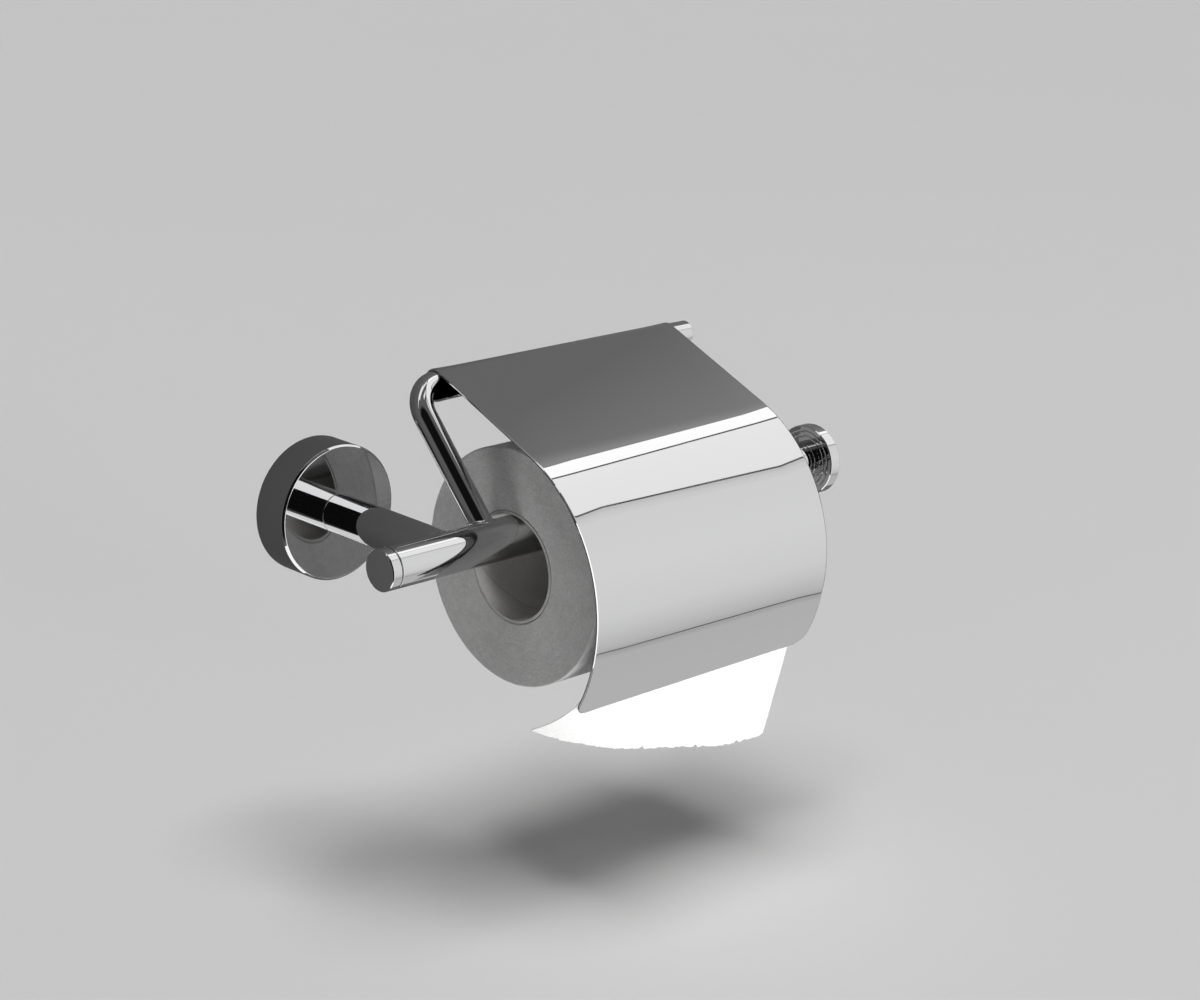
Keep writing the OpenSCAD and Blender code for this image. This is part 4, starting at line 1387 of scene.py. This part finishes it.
def build_camera():
    """Camera in front on the left, looking slightly down."""
    place = (-0.5800, -0.7361, 0.2930)
    yaw, pitch, roll = 0.7791, 0.3002, 0.0337
    data = bpy.data.cameras.new("camera")
    camera = bpy.data.objects.new("camera", data)
    bpy.context.scene.collection.objects.link(camera)
    forward = heading(yaw, -pitch)
    level = Vector((math.cos(yaw), -math.sin(yaw), 0.0))
    up = level.cross(forward)
    right = level * math.cos(roll) + up * math.sin(roll)
    upward = up * math.cos(roll) - level * math.sin(roll)
    turned = Matrix((right, upward, -forward)).transposed().to_4x4()
    camera.matrix_world = Matrix.Translation(place) @ turned
    data.sensor_width = 36.0
    data.lens = 80.751
    data.clip_start = 0.01
    bpy.context.scene.camera = camera
    return camera


def build_stage():
    """Floor, cards for the metal to mirror, soft lights, backdrop and camera."""
    bpy.context.scene.view_settings.view_transform = "Standard"
    build_floor()
    wall_card()
    for name, card in CARDS.items():
        strip_card(name, *card)
    for name, light in SUNS.items():
        add_sun(name, *light)
    build_world()
    return build_camera()


# ---------------------------------------------------------------- add-on parts

def finished(built):
    """The result of an operator, once its pieces are built."""
    if not built:
        raise RuntimeError("nothing was built")
    return {"FINISHED"}


class HOLDER_OT_rosette(bpy.types.Operator):
    """Builds the cup on the wall"""

    bl_idname = "holder.rosette"
    bl_label = "Rosette"

    def execute(self, context):
        return finished(build_rosette())


class HOLDER_OT_post(bpy.types.Operator):
    """Builds the rod from the wall to the bar"""

    bl_idname = "holder.post"
    bl_label = "Post"

    def execute(self, context):
        return finished(build_post())


class HOLDER_OT_bar(bpy.types.Operator):
    """Builds the bar, its cap and the end knob"""

    bl_idname = "holder.bar"
    bl_label = "Bar"

    def execute(self, context):
        return finished(build_bar())


class HOLDER_OT_wire(bpy.types.Operator):
    """Builds the bent hinge wire and its end piece"""

    bl_idname = "holder.wire"
    bl_label = "Hinge Wire"

    def execute(self, context):
        return finished(build_wire())


class HOLDER_OT_cover(bpy.types.Operator):
    """Builds the hinged sheet cover"""

    bl_idname = "holder.cover"
    bl_label = "Cover"

    def execute(self, context):
        return finished(build_cover())


class HOLDER_OT_roll(bpy.types.Operator):
    """Builds the wound paper and its core"""

    bl_idname = "holder.roll"
    bl_label = "Paper Roll"

    def execute(self, context):
        return finished(build_roll())


class HOLDER_OT_sheet(bpy.types.Operator):
    """Builds the loose end of the paper"""

    bl_idname = "holder.sheet"
    bl_label = "Loose Sheet"

    def execute(self, context):
        return finished(build_sheet())


class HOLDER_OT_fixings(bpy.types.Operator):
    """Gives the hidden screws, studs, ring and disc their finishes"""

    bl_idname = "holder.fixings"
    bl_label = "Hidden Fixings"

    def execute(self, context):
        return finished(dress_fixings())


class HOLDER_OT_stage(bpy.types.Operator):
    """Sets the floor, the cards, the lights and the camera"""

    bl_idname = "holder.stage"
    bl_label = "Stage"

    def execute(self, context):
        return finished(build_stage())


GROUPS = {"holder_sizes": HolderSizes, "cover_sizes": CoverSizes,
          "paper_sizes": PaperSizes, "holder_colours": HolderColours}
OPERATORS = (HOLDER_OT_rosette, HOLDER_OT_post, HOLDER_OT_bar, HOLDER_OT_wire,
             HOLDER_OT_cover, HOLDER_OT_roll, HOLDER_OT_sheet, HOLDER_OT_fixings,
             HOLDER_OT_stage)


class HOLDER_PT_panel(bpy.types.Panel):
    """Lists the sizes, the colours and the pieces."""

    bl_idname = "HOLDER_PT_panel"
    bl_label = "Paper Holder"
    bl_space_type = "VIEW_3D"
    bl_region_type = "UI"
    bl_category = "Paper Holder"

    def draw(self, context):
        for group in (getattr(context.scene, name) for name in GROUPS):
            box = self.layout.box()
            for field in group.bl_rna.properties:
                if field.identifier not in ("rna_type", "name"):
                    box.prop(group, field.identifier)
        for operator in OPERATORS:
            self.layout.operator(operator.bl_idname)


def register():
    """Registers the sizes, the operators and the panel."""
    for name, group in GROUPS.items():
        bpy.utils.register_class(group)
        setattr(bpy.types.Scene, name, bpy.props.PointerProperty(type=group))
    for operator in OPERATORS:
        bpy.utils.register_class(operator)
    bpy.utils.register_class(HOLDER_PT_panel)


def unregister():
    """Takes them out again, in the other order."""
    bpy.utils.unregister_class(HOLDER_PT_panel)
    for operator in reversed(OPERATORS):
        bpy.utils.unregister_class(operator)
    for name, group in GROUPS.items():
        delattr(bpy.types.Scene, name)
        bpy.utils.unregister_class(group)


def main():
    """Builds every piece and the stage, and writes the boxes of the solids and the pieces."""
    register()
    bpy.ops.holder.rosette()
    bpy.ops.holder.post()
    bpy.ops.holder.bar()
    bpy.ops.holder.wire()
    bpy.ops.holder.cover()
    bpy.ops.holder.roll()
    bpy.ops.holder.sheet()
    bpy.ops.holder.fixings()
    bpy.ops.holder.stage()


if __name__ == "__main__":
    main()
